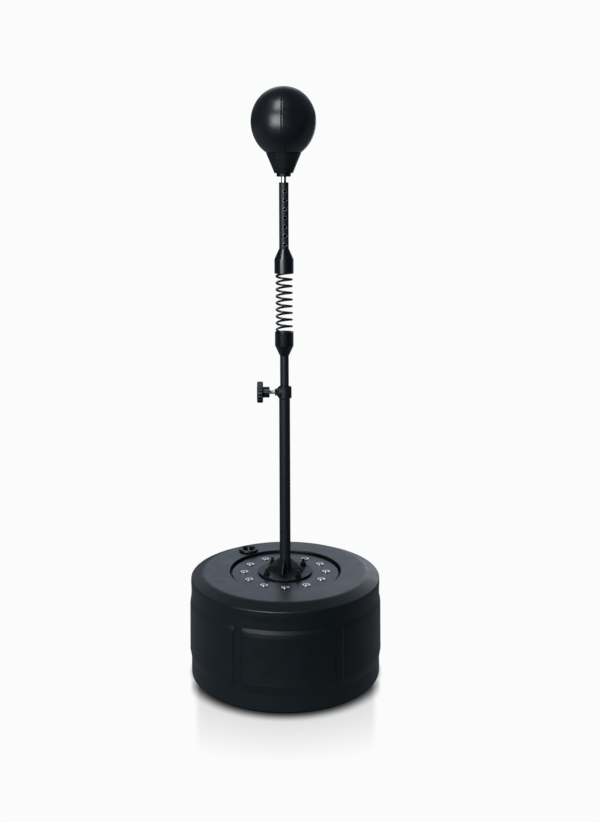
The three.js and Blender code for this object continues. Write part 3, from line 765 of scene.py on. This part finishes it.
def rib(index):
    """An upright plate between the post and the flange, with rolled edges."""
    foot = post_r + 0.3
    base = flange_high.z + 0.3
    outline = [(foot, base), (RIB_REACH, base), (RIB_REACH, base + RIB_TOE),
               (foot + RIB_TOP, base + RIB_HEIGHT), (foot, base + RIB_HEIGHT)]
    half = RIB_THICK / 2
    points = [(x, side, z) for side in (half, -half) for x, z in outline]
    count = len(outline)
    faces = [list(range(count)), list(range(2 * count - 1, count - 1, -1))]
    faces += [(i, i + count, (i + 1) % count + count, (i + 1) % count) for i in range(count)]
    plate = new_piece(f"flange_rib_{index + 1}", points, faces)
    with_modifier(plate, "BEVEL", width=0.7 * MM, segments=3, limit_method="NONE")
    shaded(plate)
    placed(plate, spot(0, 0, FLANGE_TURN - 90 + 90 * index))
    shown(plate, "base", "powder_coat", f"gusset_{index + 1}")


def bead(start, end, size, seed):
    """A weld bead between two points, rippled like laid metal."""
    start, end = Vector(start), Vector(end)
    steps = max(int((end - start).length / 0.45), 4)
    share = np.linspace(0, 1, steps)
    path = np.array(start)[None] + share[:, None] * np.array(end - start)[None]
    along = share * (end - start).length
    ripple = 1 + 0.10 * np.sin(along * 2 * np.pi / 2.3 + seed) + 0.05 * np.sin(along * 1.1 + 2 * seed)
    taper = np.minimum(1, np.minimum(share, 1 - share) * steps / 4 + 0.45)
    return swept(path, size * ripple * taper, 10)


def welds():
    """Fillet welds along both sides of every rib and round the foot of the post."""
    base = flange_high.z + 0.3
    parts = []
    turns = np.linspace(0, 2 * np.pi, 200, endpoint=False)
    ring_r = post_r + 0.9
    ring = np.stack([ring_r * np.sin(turns), -ring_r * np.cos(turns), 0 * turns + base + 0.5], -1)
    parts.append(swept(ring, 2.0 + 0.22 * np.sin(turns * 40), 10, closed=True))
    side = RIB_THICK / 2 + 0.4
    for index in range(4):
        turn = Matrix.Rotation(math.radians(FLANGE_TURN - 90 + 90 * index), 3, "Z")
        for sign in (-1, 1):
            foot = turn @ Vector((post_r + 1.5, sign * side, base + 0.4))
            toe = turn @ Vector((RIB_REACH - 1, sign * side, base + 0.4))
            root = turn @ Vector((post_r + 0.5, sign * side, base + 2))
            top = turn @ Vector((post_r + 0.5, sign * side, base + RIB_HEIGHT - 1.5))
            parts.append(bead(foot, toe, 1.7, index + sign))
            parts.append(bead(root, top, 1.5, index - sign))
    shown(gathered("pole_welds", parts, 60), "base", "powder_coat")


def flange_fastener(number, x, y):
    """A bolt up through the drum's lid and the flange, with its washer and nut."""
    low, high = box(f"flange_bolt_{number}")
    washer_low, washer_high = box(f"flange_washer_{number}")
    nut_low, nut_high = box(f"flange_nut_{number}")
    place = spot(x, y, 23 * (number - 1))
    head_top = low.z + BOLT_HEAD
    bolt = threaded_rod(f"flange_stud_{number}", 4, head_top - 1, high.z, 1.25)
    head = hex_nut("head", NUT_FLATS, 1, low.z, head_top)
    combined(bolt, head, "UNION")
    shown(placed(bolt, place), "base", "black_steel", f"flange_bolt_{number}")
    washer_r = (washer_high.x - washer_low.x) / 2 + 0.2
    washer = turned(f"flange_stud_washer_{number}", rounded([
        (NUT_BORE, washer_low.z, 0.2), (washer_r, washer_low.z, 0.4), (washer_r, washer_high.z, 0.5),
        (NUT_BORE, washer_high.z, 0.2),
    ], 3), 48)
    shown(placed(washer, place), "base", "black_steel", f"flange_washer_{number}")
    nut = hex_nut(f"flange_stud_nut_{number}", NUT_FLATS, NUT_BORE, nut_low.z, nut_high.z)
    shown(placed(nut, place), "base", "black_steel", f"flange_nut_{number}")


flange()
for number in range(4):
    rib(number)
welds()
for number, (bolt_x, bolt_y) in enumerate(FLANGE_BOLTS, 1):
    flange_fastener(number, bolt_x, bolt_y)


# ---- Post, collar and clamp ----

CLAMP_Z = 757.8
POST_WALL = 1.5
SLEEVE_R, SLEEVE_BORE, LUG_HALF, LUG_CORNER = 16.4, 12.7, 7.0, 2.6
HUB_R, WHEEL_FROM, KNOB_BORE = 14.7, 59.2, 5.3
FLUTES, FLUTE_DEPTH = 18, 2.2
collar_low, collar_high = box("collar")


def tube_profile(outer, wall, low, high, edge=0.35):
    inner = outer - wall
    middle = (low + high) / 2
    return rounded([
        (inner, low, edge), (outer, low, edge), (outer, middle), (outer, high, edge), (inner, high, edge),
        (inner, middle),
    ], 4)


def clamp_drill(radius):
    """A cutter along the clamp's axis, from inside the post to beyond the boss."""
    return across_pole(rod_at("drill", 0, 0, radius, 6, 24, 40), CLAMP_Z)


def post():
    tube = turned("lower_pole", tube_profile(post_r, POST_WALL, post_low.z, post_high.z), 96)
    combined(tube, clamp_drill(5.6), "DIFFERENCE")
    shown(tube, "base", "powder_coat", "outer_tube")


def collar():
    """A cast collar: a sleeve, a lug on the right and a boss for the clamp screw on the left, blended."""
    reach = collar_high.x
    bottom, top = collar_low.z, collar_high.z
    body = turned("clamp_collar", rounded([
        (0, bottom), (SLEEVE_R - 0.9, bottom), (SLEEVE_R, bottom + 3, 0.5), (SLEEVE_R, top, 1.2),
        (0, top),
    ]), 96)
    outline = [(0, -LUG_HALF), (reach - LUG_CORNER, -LUG_HALF), (reach, LUG_CORNER - LUG_HALF),
               (reach, LUG_HALF - LUG_CORNER), (reach - LUG_CORNER, LUG_HALF), (0, LUG_HALF)]
    combined(body, lofted("lug", [(outline, bottom + 3), (outline, top - 1)]), "UNION")
    boss = turned("boss", [(0, 2), (15.4, 2), (15.4, 16), (9.8, 21), (0, 21)], 72)
    combined(body, across_pole(boss, CLAMP_Z), "UNION")
    roof = post_high.z + 0.2
    bore = turned("bore", [(0, bottom - 5), (post_r + 0.3, bottom - 5), (post_r + 0.3, roof),
                           (SLEEVE_BORE, roof), (SLEEVE_BORE, top + 5), (0, top + 5)], 96)
    combined(body, bore, "DIFFERENCE")
    with_modifier(body, "REMESH", mode="VOXEL", voxel_size=0.42 * MM)
    with_modifier(body, "SMOOTH", factor=0.5, iterations=2)
    shaded(body, 60)
    combined(body, clamp_drill(5.35), "DIFFERENCE")
    shaded(body, 60)
    shown(body, "base", "powder_coat", "collar")


def collar_nut():
    low, high = box("collar_nut")
    nut = hex_nut("clamp_nut", 17, KNOB_BORE, -high.x, -low.x)
    shown(across_pole(nut, CLAMP_Z), "base", "black_steel", "collar_nut")


def clamp_screw():
    low, high = box("knob_screw")
    screw = threaded_rod("clamp_screw", 5, -high.x, -low.x, 1.5, 0.7, 0.9, 40)
    shown(across_pole(screw, CLAMP_Z), "clamp_knob", "bright_steel", "knob_screw")


def knob():
    """A fluted hand wheel on a round hub, dished at its outer end."""
    low, high = box("knob")
    disc_r = high.z - CLAMP_Z
    hub_end, disc_to = -high.x, -low.x
    disc_middle = (WHEEL_FROM + disc_to) / 2
    screw_end = -box("knob_screw")[0].x + 0.2
    profile = rounded([
        (0, screw_end), (KNOB_BORE, screw_end), (KNOB_BORE, hub_end, 0.5), (HUB_R, hub_end, 1.6),
        (HUB_R, 50), (HUB_R, WHEEL_FROM, 1.6), (disc_r, WHEEL_FROM, 2.6), (disc_r, disc_middle),
        (disc_r, disc_to, 2.8), (18, disc_to, 1.2), (16.5, disc_to - 1.3, 1.2), (7, disc_to - 1.3, 1.2),
        (5, disc_to - 0.4, 1.2), (0, disc_to - 0.4),
    ])

    def fluted(angle, r, z):
        dip = (0.5 - 0.5 * np.cos(FLUTES * angle)) ** 1.5
        wheel = smooth_step(r, 18.5, disc_r - 2) * (z > WHEEL_FROM - 0.5)
        return r - FLUTE_DEPTH * dip * wheel, z

    piece = across_pole(turned("hand_knob", profile, 14 * FLUTES, fluted, 50), CLAMP_Z)
    shown(piece, "clamp_knob", "moulded_knob", "knob")


post()
collar()
collar_nut()
clamp_screw()
knob()


# ---- Mast, spring seats and spring ----

SOCKET_DEPTH, SOCKET_WEB, SOCKET_PLAY, SOCKET_LIP = 23.7, 7.0, 0.2, 0.7
SPRING_R, WIRE_R, SPRING_PITCH, CLOSED_PITCH, RIGHT_SIDE_Z = 21.0, 3.0, 18.4, 6.3, 1067.6
SPRING_BORE = SPRING_R + WIRE_R + 0.3
LOWER_CONE_Z, LOWER_BAND_Z, UPPER_BAND_Z, UPPER_CONE_Z = 886.5, 905.0, 1105.0, 1123.7
mast_low, mast_high = box("inner_tube")
mast_r = mast_high.x
seat_low, seat_high = box("lower_spring_seat")
top_seat_low, top_seat_high = box("upper_spring_seat")
tube_low, tube_high = box("upper_tube")
tube_r = tube_high.x


def mast():
    tube = turned("sliding_pole", tube_profile(mast_r, POST_WALL, mast_low.z, mast_high.z), 96)
    shown(tube, "mast", "powder_coat", "inner_tube")


def lower_seat():
    """A glossy cup that takes the mast from below and the spring from above."""
    bore = mast_r + SOCKET_PLAY
    floor = seat_high.z - SOCKET_DEPTH
    cup = turned("lower_spring_cup", rounded([
        (0, floor - SOCKET_WEB), (bore, floor - SOCKET_WEB), (bore, seat_low.z),
        (bore + SOCKET_LIP, seat_low.z, 0.3), (seat_high.x, LOWER_CONE_Z, 1.2),
        (seat_high.x, LOWER_BAND_Z), (seat_high.x, seat_high.z, 0.9),
        (SPRING_BORE, seat_high.z, 0.5), (SPRING_BORE, floor, 0.8), (0, floor),
    ]), 120)
    shown(cup, "mast", "gloss_paint", "lower_spring_seat")


def upper_seat():
    bore = tube_r + SOCKET_PLAY
    roof = top_seat_low.z + SOCKET_DEPTH
    radius = top_seat_high.x
    cup = turned("upper_spring_cup", rounded([
        (0, roof), (SPRING_BORE, roof, 0.8), (SPRING_BORE, top_seat_low.z, 0.5),
        (radius, top_seat_low.z, 0.9), (radius, UPPER_BAND_Z), (radius, UPPER_CONE_Z, 1.2),
        (bore + SOCKET_LIP, top_seat_high.z, 0.3),
        (bore, top_seat_high.z), (bore, roof + SOCKET_WEB), (0, roof + SOCKET_WEB),
    ]), 120)
    shown(cup, "head", "gloss_paint", "upper_spring_seat")


def spring():
    """A left-handed coil, made as a lower and an upper half that meet between the two bend joints. Neither
    half is put on a body.
    """
    low = seat_high.z - SOCKET_DEPTH + 0.2 + WIRE_R
    high = top_seat_low.z + SOCKET_DEPTH - 0.2 - WIRE_R
    open_turns = (high - low - 2 * CLOSED_PITCH) / SPRING_PITCH
    total = open_turns + 2
    turn = np.linspace(0, total, int(total * 54))
    lower = np.minimum(turn, 1)
    upper = np.maximum(turn - 1 - open_turns, 0)
    z = low + CLOSED_PITCH * (lower + upper) + SPRING_PITCH * (turn - lower - upper)
    right_side = 1 + (RIGHT_SIDE_Z - low - CLOSED_PITCH) / SPRING_PITCH
    angle = 2 * np.pi * (right_side - turn)
    path = np.stack([SPRING_R * np.cos(angle), SPRING_R * np.sin(angle), z], axis=-1)
    middle_z = (seat_high.z + top_seat_low.z) / 2
    split = int(np.searchsorted(z, middle_z))
    halves = (
        ("spring_lower_coils", path[:split + 1], "mast", "spring_middle", seat_high.z, middle_z),
        ("spring_upper_coils", path[split:], "spring_middle", "head", middle_z, top_seat_low.z),
    )
    for name, points, below, above, start, end in halves:
        coil = gathered(name, [swept(points, WIRE_R, 20)], 50)
        coil.data.materials.append(FINISHES["spring_wire"])
        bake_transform(coil)
        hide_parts("spring")


mast()
lower_seat()
upper_seat()
spring()


# ---- Perforated tube and coupling ----

HOLES, HOLE_R, HOLE_TOP, HOLE_PITCH, HOLE_TURN = 7, 4.5, 1310.3, 24.4, 13
LIP_CLEAR = 0.12  # how far a face stands off the tube's wall before it counts as a lip, rubbed bright
plug_low, plug_high = box("upper_tube_plug")
stud_low, stud_high = box("coupling_stud")
stud_r = stud_high.y
ring_low, ring_high = box("neck_ring")
cup_low, cup_high = box("neck_cup")


def rolled_lip(height):
    """The raised lip round a hole, following the tube's round wall."""
    turns = np.linspace(0, 2 * np.pi, 48, endpoint=False)
    reach = HOLE_R + 0.55
    x = reach * np.cos(turns)
    y = -np.sqrt((tube_r - 0.1) ** 2 - x ** 2)
    return swept(np.stack([x, y, height + reach * np.sin(turns)], axis=-1), 0.75, 10, closed=True)


def perforated_tube():
    tube = turned("upper_pole", tube_profile(tube_r, POST_WALL, tube_low.z, tube_high.z), 96)
    heights = [HOLE_TOP - HOLE_PITCH * k for k in range(HOLES)]
    lips = gathered("lips", [rolled_lip(z) for z in heights])
    combined(tube, lips, "UNION")
    for z in heights:
        drill = rod_at("drill", 0, 0, HOLE_R, 5, tube_r + 4, 48)
        placed(drill, Matrix.Translation((0, 0, z)) @ Matrix.Rotation(math.pi / 2, 4, "X"))
        combined(tube, drill, "DIFFERENCE")
    placed(tube, spot(0, 0, HOLE_TURN))
    shown(tube, "head", "powder_coat", "upper_tube")
    tube.data.materials.append(FINISHES["rubbed_coat"])
    for face in tube.data.polygons:
        if face.center.xy.length > (tube_r + LIP_CLEAR) * MM:
            face.material_index = 1


def tube_plug():
    bore = stud_r + 0.2
    spigot = tube_r - POST_WALL - 0.2
    under = tube_high.z + 0.2
    plug = turned("upper_pole_plug", rounded([
        (bore, plug_low.z, 0.3), (spigot, plug_low.z, 0.5), (spigot, under), (plug_high.x, under, 0.2),
        (plug_high.x, plug_high.z, 0.7), (bore, plug_high.z, 0.3),
    ], 4), 72)
    shown(plug, "head", "black_steel", "upper_tube_plug")


def stud():
    middle = (stud_low.z + stud_high.z) / 2
    piece = turned("neck_stud", rounded([
        (0, stud_low.z), (stud_r, stud_low.z, 1), (stud_r, middle - 12), (stud_r, middle),
        (stud_r, stud_high.z, 1), (0, stud_high.z),
    ]), 64)
    shown(piece, "head", "bright_steel", "coupling_stud")


def neck_ring():
    radius = ring_high.x
    bore = stud_r + 0.3
    ring = turned("neck_washer", rounded([
        (bore, ring_low.z, 0.3), (radius - 1.6, ring_low.z, 1.2), (radius, ring_low.z + 2, 1),
        (radius, ring_high.z, 0.8), (bore, ring_high.z, 0.3),
    ]), 96)
    shown(ring, "head", "cup_rubber", "neck_ring")


perforated_tube()
tube_plug()
stud()
neck_ring()


# ---- Ball and its cup ----

BALL_R, BALL_CENTRE, BALL_UP, BALL_DOWN = 90.2, 1503.0, 97.0, 102.0
COVER, NECK_HOLE_R, CUP_PLAY = 3.0, 14.0, 0.4
GORES, FIRST_SEAM = 5, -3.5
SEAM_DEPTH, SEAM_HALF_WIDTH, GORE_FLATNESS = 1.3, 1.4, 2.2
PUCKER_DEPTH, PUCKER_LENGTH, PUCKER_REACH = 0.10, 7.5, 6.0
SHOULDER_HEIGHT, SHOULDER_FROM, SHOULDER_WIDTH = 0.22, 3.6, 1.7
CUP_BOTTOM_R, CUP_MIDDLE_R, CUP_MIDDLE_Z, SHANK_BORE = 25.6, 37, 1388, 9.3


def ball_points(inset, start, end, steps):
    """Points on the ball's profile between two angles from its equator, in degrees, moved in."""
    t = np.radians(np.linspace(start, end, steps))
    height = np.where(t < 0, BALL_DOWN, BALL_UP) - inset
    radius = (BALL_R - inset) * np.cos(t)
    return [(max(r, 0), z) for r, z in zip(radius, BALL_CENTRE + height * np.sin(t))]


def angle_at(radius, inset):
    return math.degrees(math.acos(radius / (BALL_R - inset)))


def gore_angles():
    """Columns round the ball, set close together at the seams."""
    pitch = 360 / GORES
    near = np.array([0, 0.25, 0.5, 0.8, 1.1, 1.5, 2.0, 2.7, 3.6, 5.0])
    panel = np.linspace(near[-1], pitch - near[-1], 24)[1:-1]
    one = np.concatenate([-near[:0:-1], near, panel])
    return np.radians(np.sort(np.concatenate([FIRST_SEAM + pitch * k + one for k in range(GORES)]) % 360))


def ball():
    """An inflated cover of sewn gores, each a little flattened, with grooved, puckered seams."""
    neck = -angle_at(NECK_HOLE_R, 0)
    inside = ball_points(COVER, 90, neck, 40)
    outside = ball_points(0, neck, 90, 190)
    inside[0] = (0, inside[0][1])
    outside[-1] = (0, outside[-1][1])

    def sewn(angle, r, z):
        pitch = 2 * np.pi / GORES
        turn = (angle - math.radians(FIRST_SEAM) + pitch / 2) % pitch - pitch / 2
        from_seam = np.abs(turn) * r
        on_outside = (np.arange(len(r)) >= len(inside))[:, None]
        fade = smooth_step(r, 4, 30) * on_outside
        ridge = (np.abs(turn) / (pitch / 2) - 1) ** 2 - 0.3
        flatness = GORE_FLATNESS * smooth_step(z, cup_high.z, cup_high.z + 30)
        groove = np.exp(-(from_seam / SEAM_HALF_WIDTH) ** 2)
        shoulder = np.exp(-((from_seam - SHOULDER_FROM) / SHOULDER_WIDTH) ** 2)
        steps = (np.diff(values[:, :1], axis=0, prepend=0) for values in (r, z))
        along = np.cumsum(np.hypot(*steps), 0)
        wave = np.sin(along * 2 * np.pi / PUCKER_LENGTH + 2 * np.sin(along / 23))
        wave = wave * (0.6 + 0.4 * np.sin(along / 11 + angle))
        pucker = np.exp(-(from_seam / PUCKER_REACH) ** 2) * wave
        raised = flatness * ridge + SHOULDER_HEIGHT * shoulder
        return r + fade * (raised - SEAM_DEPTH * groove - PUCKER_DEPTH * pucker), z

    cover = turned("ball", inside + outside, gore_angles(), sewn, 60)
    low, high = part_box("bladder_valve")
    valve = (low + high) / 2 / MM
    outward = Vector((0, valve.y, valve.z - BALL_CENTRE)).normalized()
    drill = turned("drill", [(0, -12), (3.9, -12), (3.9, 12), (0, 12)], 40)
    placed(drill, Matrix.Translation(outward * BALL_R + Vector((0, 0, BALL_CENTRE)))
           @ outward.to_track_quat("Z", "Y").to_matrix().to_4x4())
    combined(cover, drill, "DIFFERENCE")
    shaded(cover, 60)
    shown(cover, "head", "ball_leather", "ball_cover")


def ball_cup():
    """A moulded cone whose hollow top holds the ball."""
    bore = stud_r + 0.3
    anchor_z = box("anchor_insert")[0].z - 0.2
    top_r = cup_high.x
    rest = ball_points(-CUP_PLAY, -angle_at(top_r - 1.4, -CUP_PLAY), -angle_at(SHANK_BORE, -CUP_PLAY), 24)
    profile = rounded([
        (bore, cup_low.z, 0.3), (CUP_BOTTOM_R, cup_low.z, 1.6), (CUP_MIDDLE_R, CUP_MIDDLE_Z),
        (top_r, cup_high.z - 0.2, 0.6), rest[0],
    ])
    cup = turned("ball_cup", profile + rest[1:] + [(SHANK_BORE, anchor_z), (bore, anchor_z)], 120)
    shown(cup, "head", "cup_rubber", "neck_cup")


ball()
ball_cup()


# ---- CAD nodes that are shown as they are ----

slots = {subpart["node"]: subpart["material_slot"] for subpart in frame["record"]["subparts"]}
for body in frame["bodies"].values():
    for child in body.children:
        if slots.get(child.name) and not child.hide_render:
            child.material_slots[0].material = FINISHES[slots[child.name]]


# ---- Floor, light and camera ----

CAMERA = Vector((0, -2.90, 1.339))
LENS, SENSOR = 46.16, 36.0
SHIFT_X, SHIFT_Y = 0.0198, -0.28
ROLL = 0.22  # degrees

SEEN_WHITE = (0.965, 0.967, 0.970, 1)  # the floor and the surround as the camera sees them
BACK_LIGHT, SIDE_LIGHT, FRONT_LIGHT = 1.18, 0.10, 0.026
SURROUND_TINT, FLOOR_TINT, LAMP_TINT = (0.74, 0.84, 1.0, 1), (0.78, 0.88, 1.0, 1), (0.93, 0.97, 1.0)
FLOOR_HALF = 12000

# The drum's mirror image on the floor, broad and faint and then narrow and dark, and its contact shadow.
# An edge is half the image's width where it starts and ends to fade. Reach is measured from the foot.
FOOT_INSET = 4
FAR_EDGE, FAR_REACH, FAR_DEPTH = (0.232, 0.254), 0.225, 0.27
NEAR_EDGE, NEAR_REACH, NEAR_DEPTH = (0.250, 0.264), 0.045, 0.68
CONTACT_START, CONTACT_REACH, CONTACT_DEPTH = -0.002, 0.014, 0.6


def by_ray(tree, lighting, seen, output):
    """Shows the camera one shader and lights the object with another."""
    is_camera = tree.add("LightPath").outputs["Is Camera Ray"]
    tree.links.new(tree.add("MixShader", is_camera, lighting, seen).outputs[0], output.inputs["Surface"])


def darkening(tree, place):
    """How much the drum darkens the floor: its mirror image towards the viewer, and contact shadow."""
    level = tree.vector("MULTIPLY", tree.add("NewGeometry").outputs["Incoming"], (1, 1, 0))
    sight = tree.vector("NORMALIZE", level)
    aside = tree.vector("LENGTH", tree.vector("CROSS_PRODUCT", place, sight))
    before = tree.vector("DOT_PRODUCT", place, sight)
    distance = tree.math("SUBTRACT", tree.vector("LENGTH", place), (foot_r - FOOT_INSET) * MM)
    far = tree.times(tree.ease(aside, *FAR_EDGE, 1, 0), tree.ease(before, 0, 0.05, 0, 1))
    far = tree.times(far, tree.remap(distance, 0, FAR_REACH, FAR_DEPTH, 0))
    near = tree.times(tree.ease(aside, *NEAR_EDGE, 1, 0), tree.ease(before, -0.02, 0.10, 0, 1))
    near = tree.times(near, tree.ease(distance, 0, NEAR_REACH, NEAR_DEPTH, 0))
    contact = tree.ease(distance, CONTACT_START, CONTACT_REACH, CONTACT_DEPTH, 0)
    return tree.math("MAXIMUM", tree.math("ADD", far, near), contact)


def floor():
    """A white floor whose shadow and mirror image of the drum are worked out, not traced."""
    corners = [(x * FLOOR_HALF, y * FLOOR_HALF, 0) for x, y in ((-1, -1), (1, -1), (1, 1), (-1, 1))]
    piece = new_piece("floor", corners, [(0, 1, 2, 3)])
    material = bpy.data.materials.new("floor")
    tree = NodeTree(material)
    tree.nodes.clear()
    place = tree.add("TexCoord").outputs["Object"]
    glow = tree.add("Emission", SEEN_WHITE, tree.math("SUBTRACT", 1, darkening(tree, place)))
    depth = tree.add("SeparateXYZ", place).outputs["Y"]
    bounce = tree.add("Emission", FLOOR_TINT, tree.ease(depth, -0.75, 0.1, 0.024, 0.20))
    by_ray(tree, bounce.outputs[0], glow.outputs[0], tree.add("OutputMaterial"))
    piece.data.materials.append(material)


def backdrop():
    """A white surround that lights the object from above its back and a little from its sides."""
    world = bpy.data.worlds.new("surround")
    bpy.context.scene.world = world
    tree = NodeTree(world)
    x, y, z = tree.add("SeparateXYZ", tree.add("TexCoord").outputs["Generated"]).outputs
    window = tree.times(tree.ease(y, 0.42, 0.93, 0, BACK_LIGHT), tree.ease(z, 0.06, 0.30, 0, 1))
    sides = tree.times(tree.ease(x, -0.55, -0.12, 0.18, 1), tree.ease(x, 0.15, 0.7, 1, 0.4))
    back = tree.times(tree.times(window, sides), tree.ease(z, 0.45, 0.80, 1, 0.30))
    side = tree.times(tree.ease(x, 0.3, 0.85, 0, SIDE_LIGHT), tree.ease(y, -0.2, 0.4, 0, 1))
    strength = tree.math("ADD", tree.math("ADD", back, side), FRONT_LIGHT)
    lighting = tree.nodes["Background"]
    tree.feed(lighting.inputs["Color"], SURROUND_TINT)
    tree.feed(lighting.inputs["Strength"], strength)
    seen = tree.add("Background", SEEN_WHITE)
    by_ray(tree, lighting.outputs[0], seen.outputs[0], tree.nodes["World Output"])


def softbox(name, azimuth, distance, height, width, tall, radiance, aim):
    """An area light at an angle round the pole from the front, aimed at a height on the pole's axis."""
    data = bpy.data.lights.new(name, "AREA")
    data.shape = "RECTANGLE"
    data.size, data.size_y = width, tall
    data.energy = radiance * math.pi * width * tall
    data.color = LAMP_TINT
    light = bpy.data.objects.new(name, data)
    turn = math.radians(azimuth)
    light.location = (distance * math.sin(turn), -distance * math.cos(turn), height)
    light.rotation_euler = (light.location - Vector((0, 0, aim))).to_track_quat("Z", "Y").to_euler()
    light.visible_camera = False
    bpy.context.collection.objects.link(light)


def camera():
    """A level camera shifted down. The shift holds only at its own place, so other views stay centred."""
    data = bpy.data.cameras.new("camera")
    data.lens, data.sensor_width = LENS, SENSOR
    viewer = bpy.data.objects.new("camera", data)
    viewer.location = CAMERA
    viewer.rotation_euler = (math.pi / 2, math.radians(ROLL), 0)
    bpy.context.collection.objects.link(viewer)
    for path, shift in (("shift_x", SHIFT_X), ("shift_y", SHIFT_Y)):
        driver = data.driver_add(path).driver
        driver.type = "SCRIPTED"
        for axis in "YZ":
            variable = driver.variables.new()
            variable.name = axis.lower()
            variable.type = "TRANSFORMS"
            variable.targets[0].id = viewer
            variable.targets[0].transform_type = f"LOC_{axis}"
        at_home = f"abs(y - ({CAMERA.y})) < 0.001 and abs(z - {CAMERA.z}) < 0.001"
        driver.expression = f"{shift} if {at_home} else 0"
    bpy.context.scene.camera = viewer


floor()
backdrop()
softbox("key_upper", -28, 2.30, 4.00, 1.6, 1.7, 9.5, 1.5)
softbox("key_lower", -28, 3.20, 1.60, 2.2, 1.6, 9.0, 1.60)
softbox("strip", 8, 3.20, 0.95, 0.16, 0.9, 3.5, 0.95)
softbox("back", 156, 3.20, 1.05, 1.6, 1.5, 1.0, 1.05)
camera()
bpy.context.scene.view_settings.view_transform = "Standard"
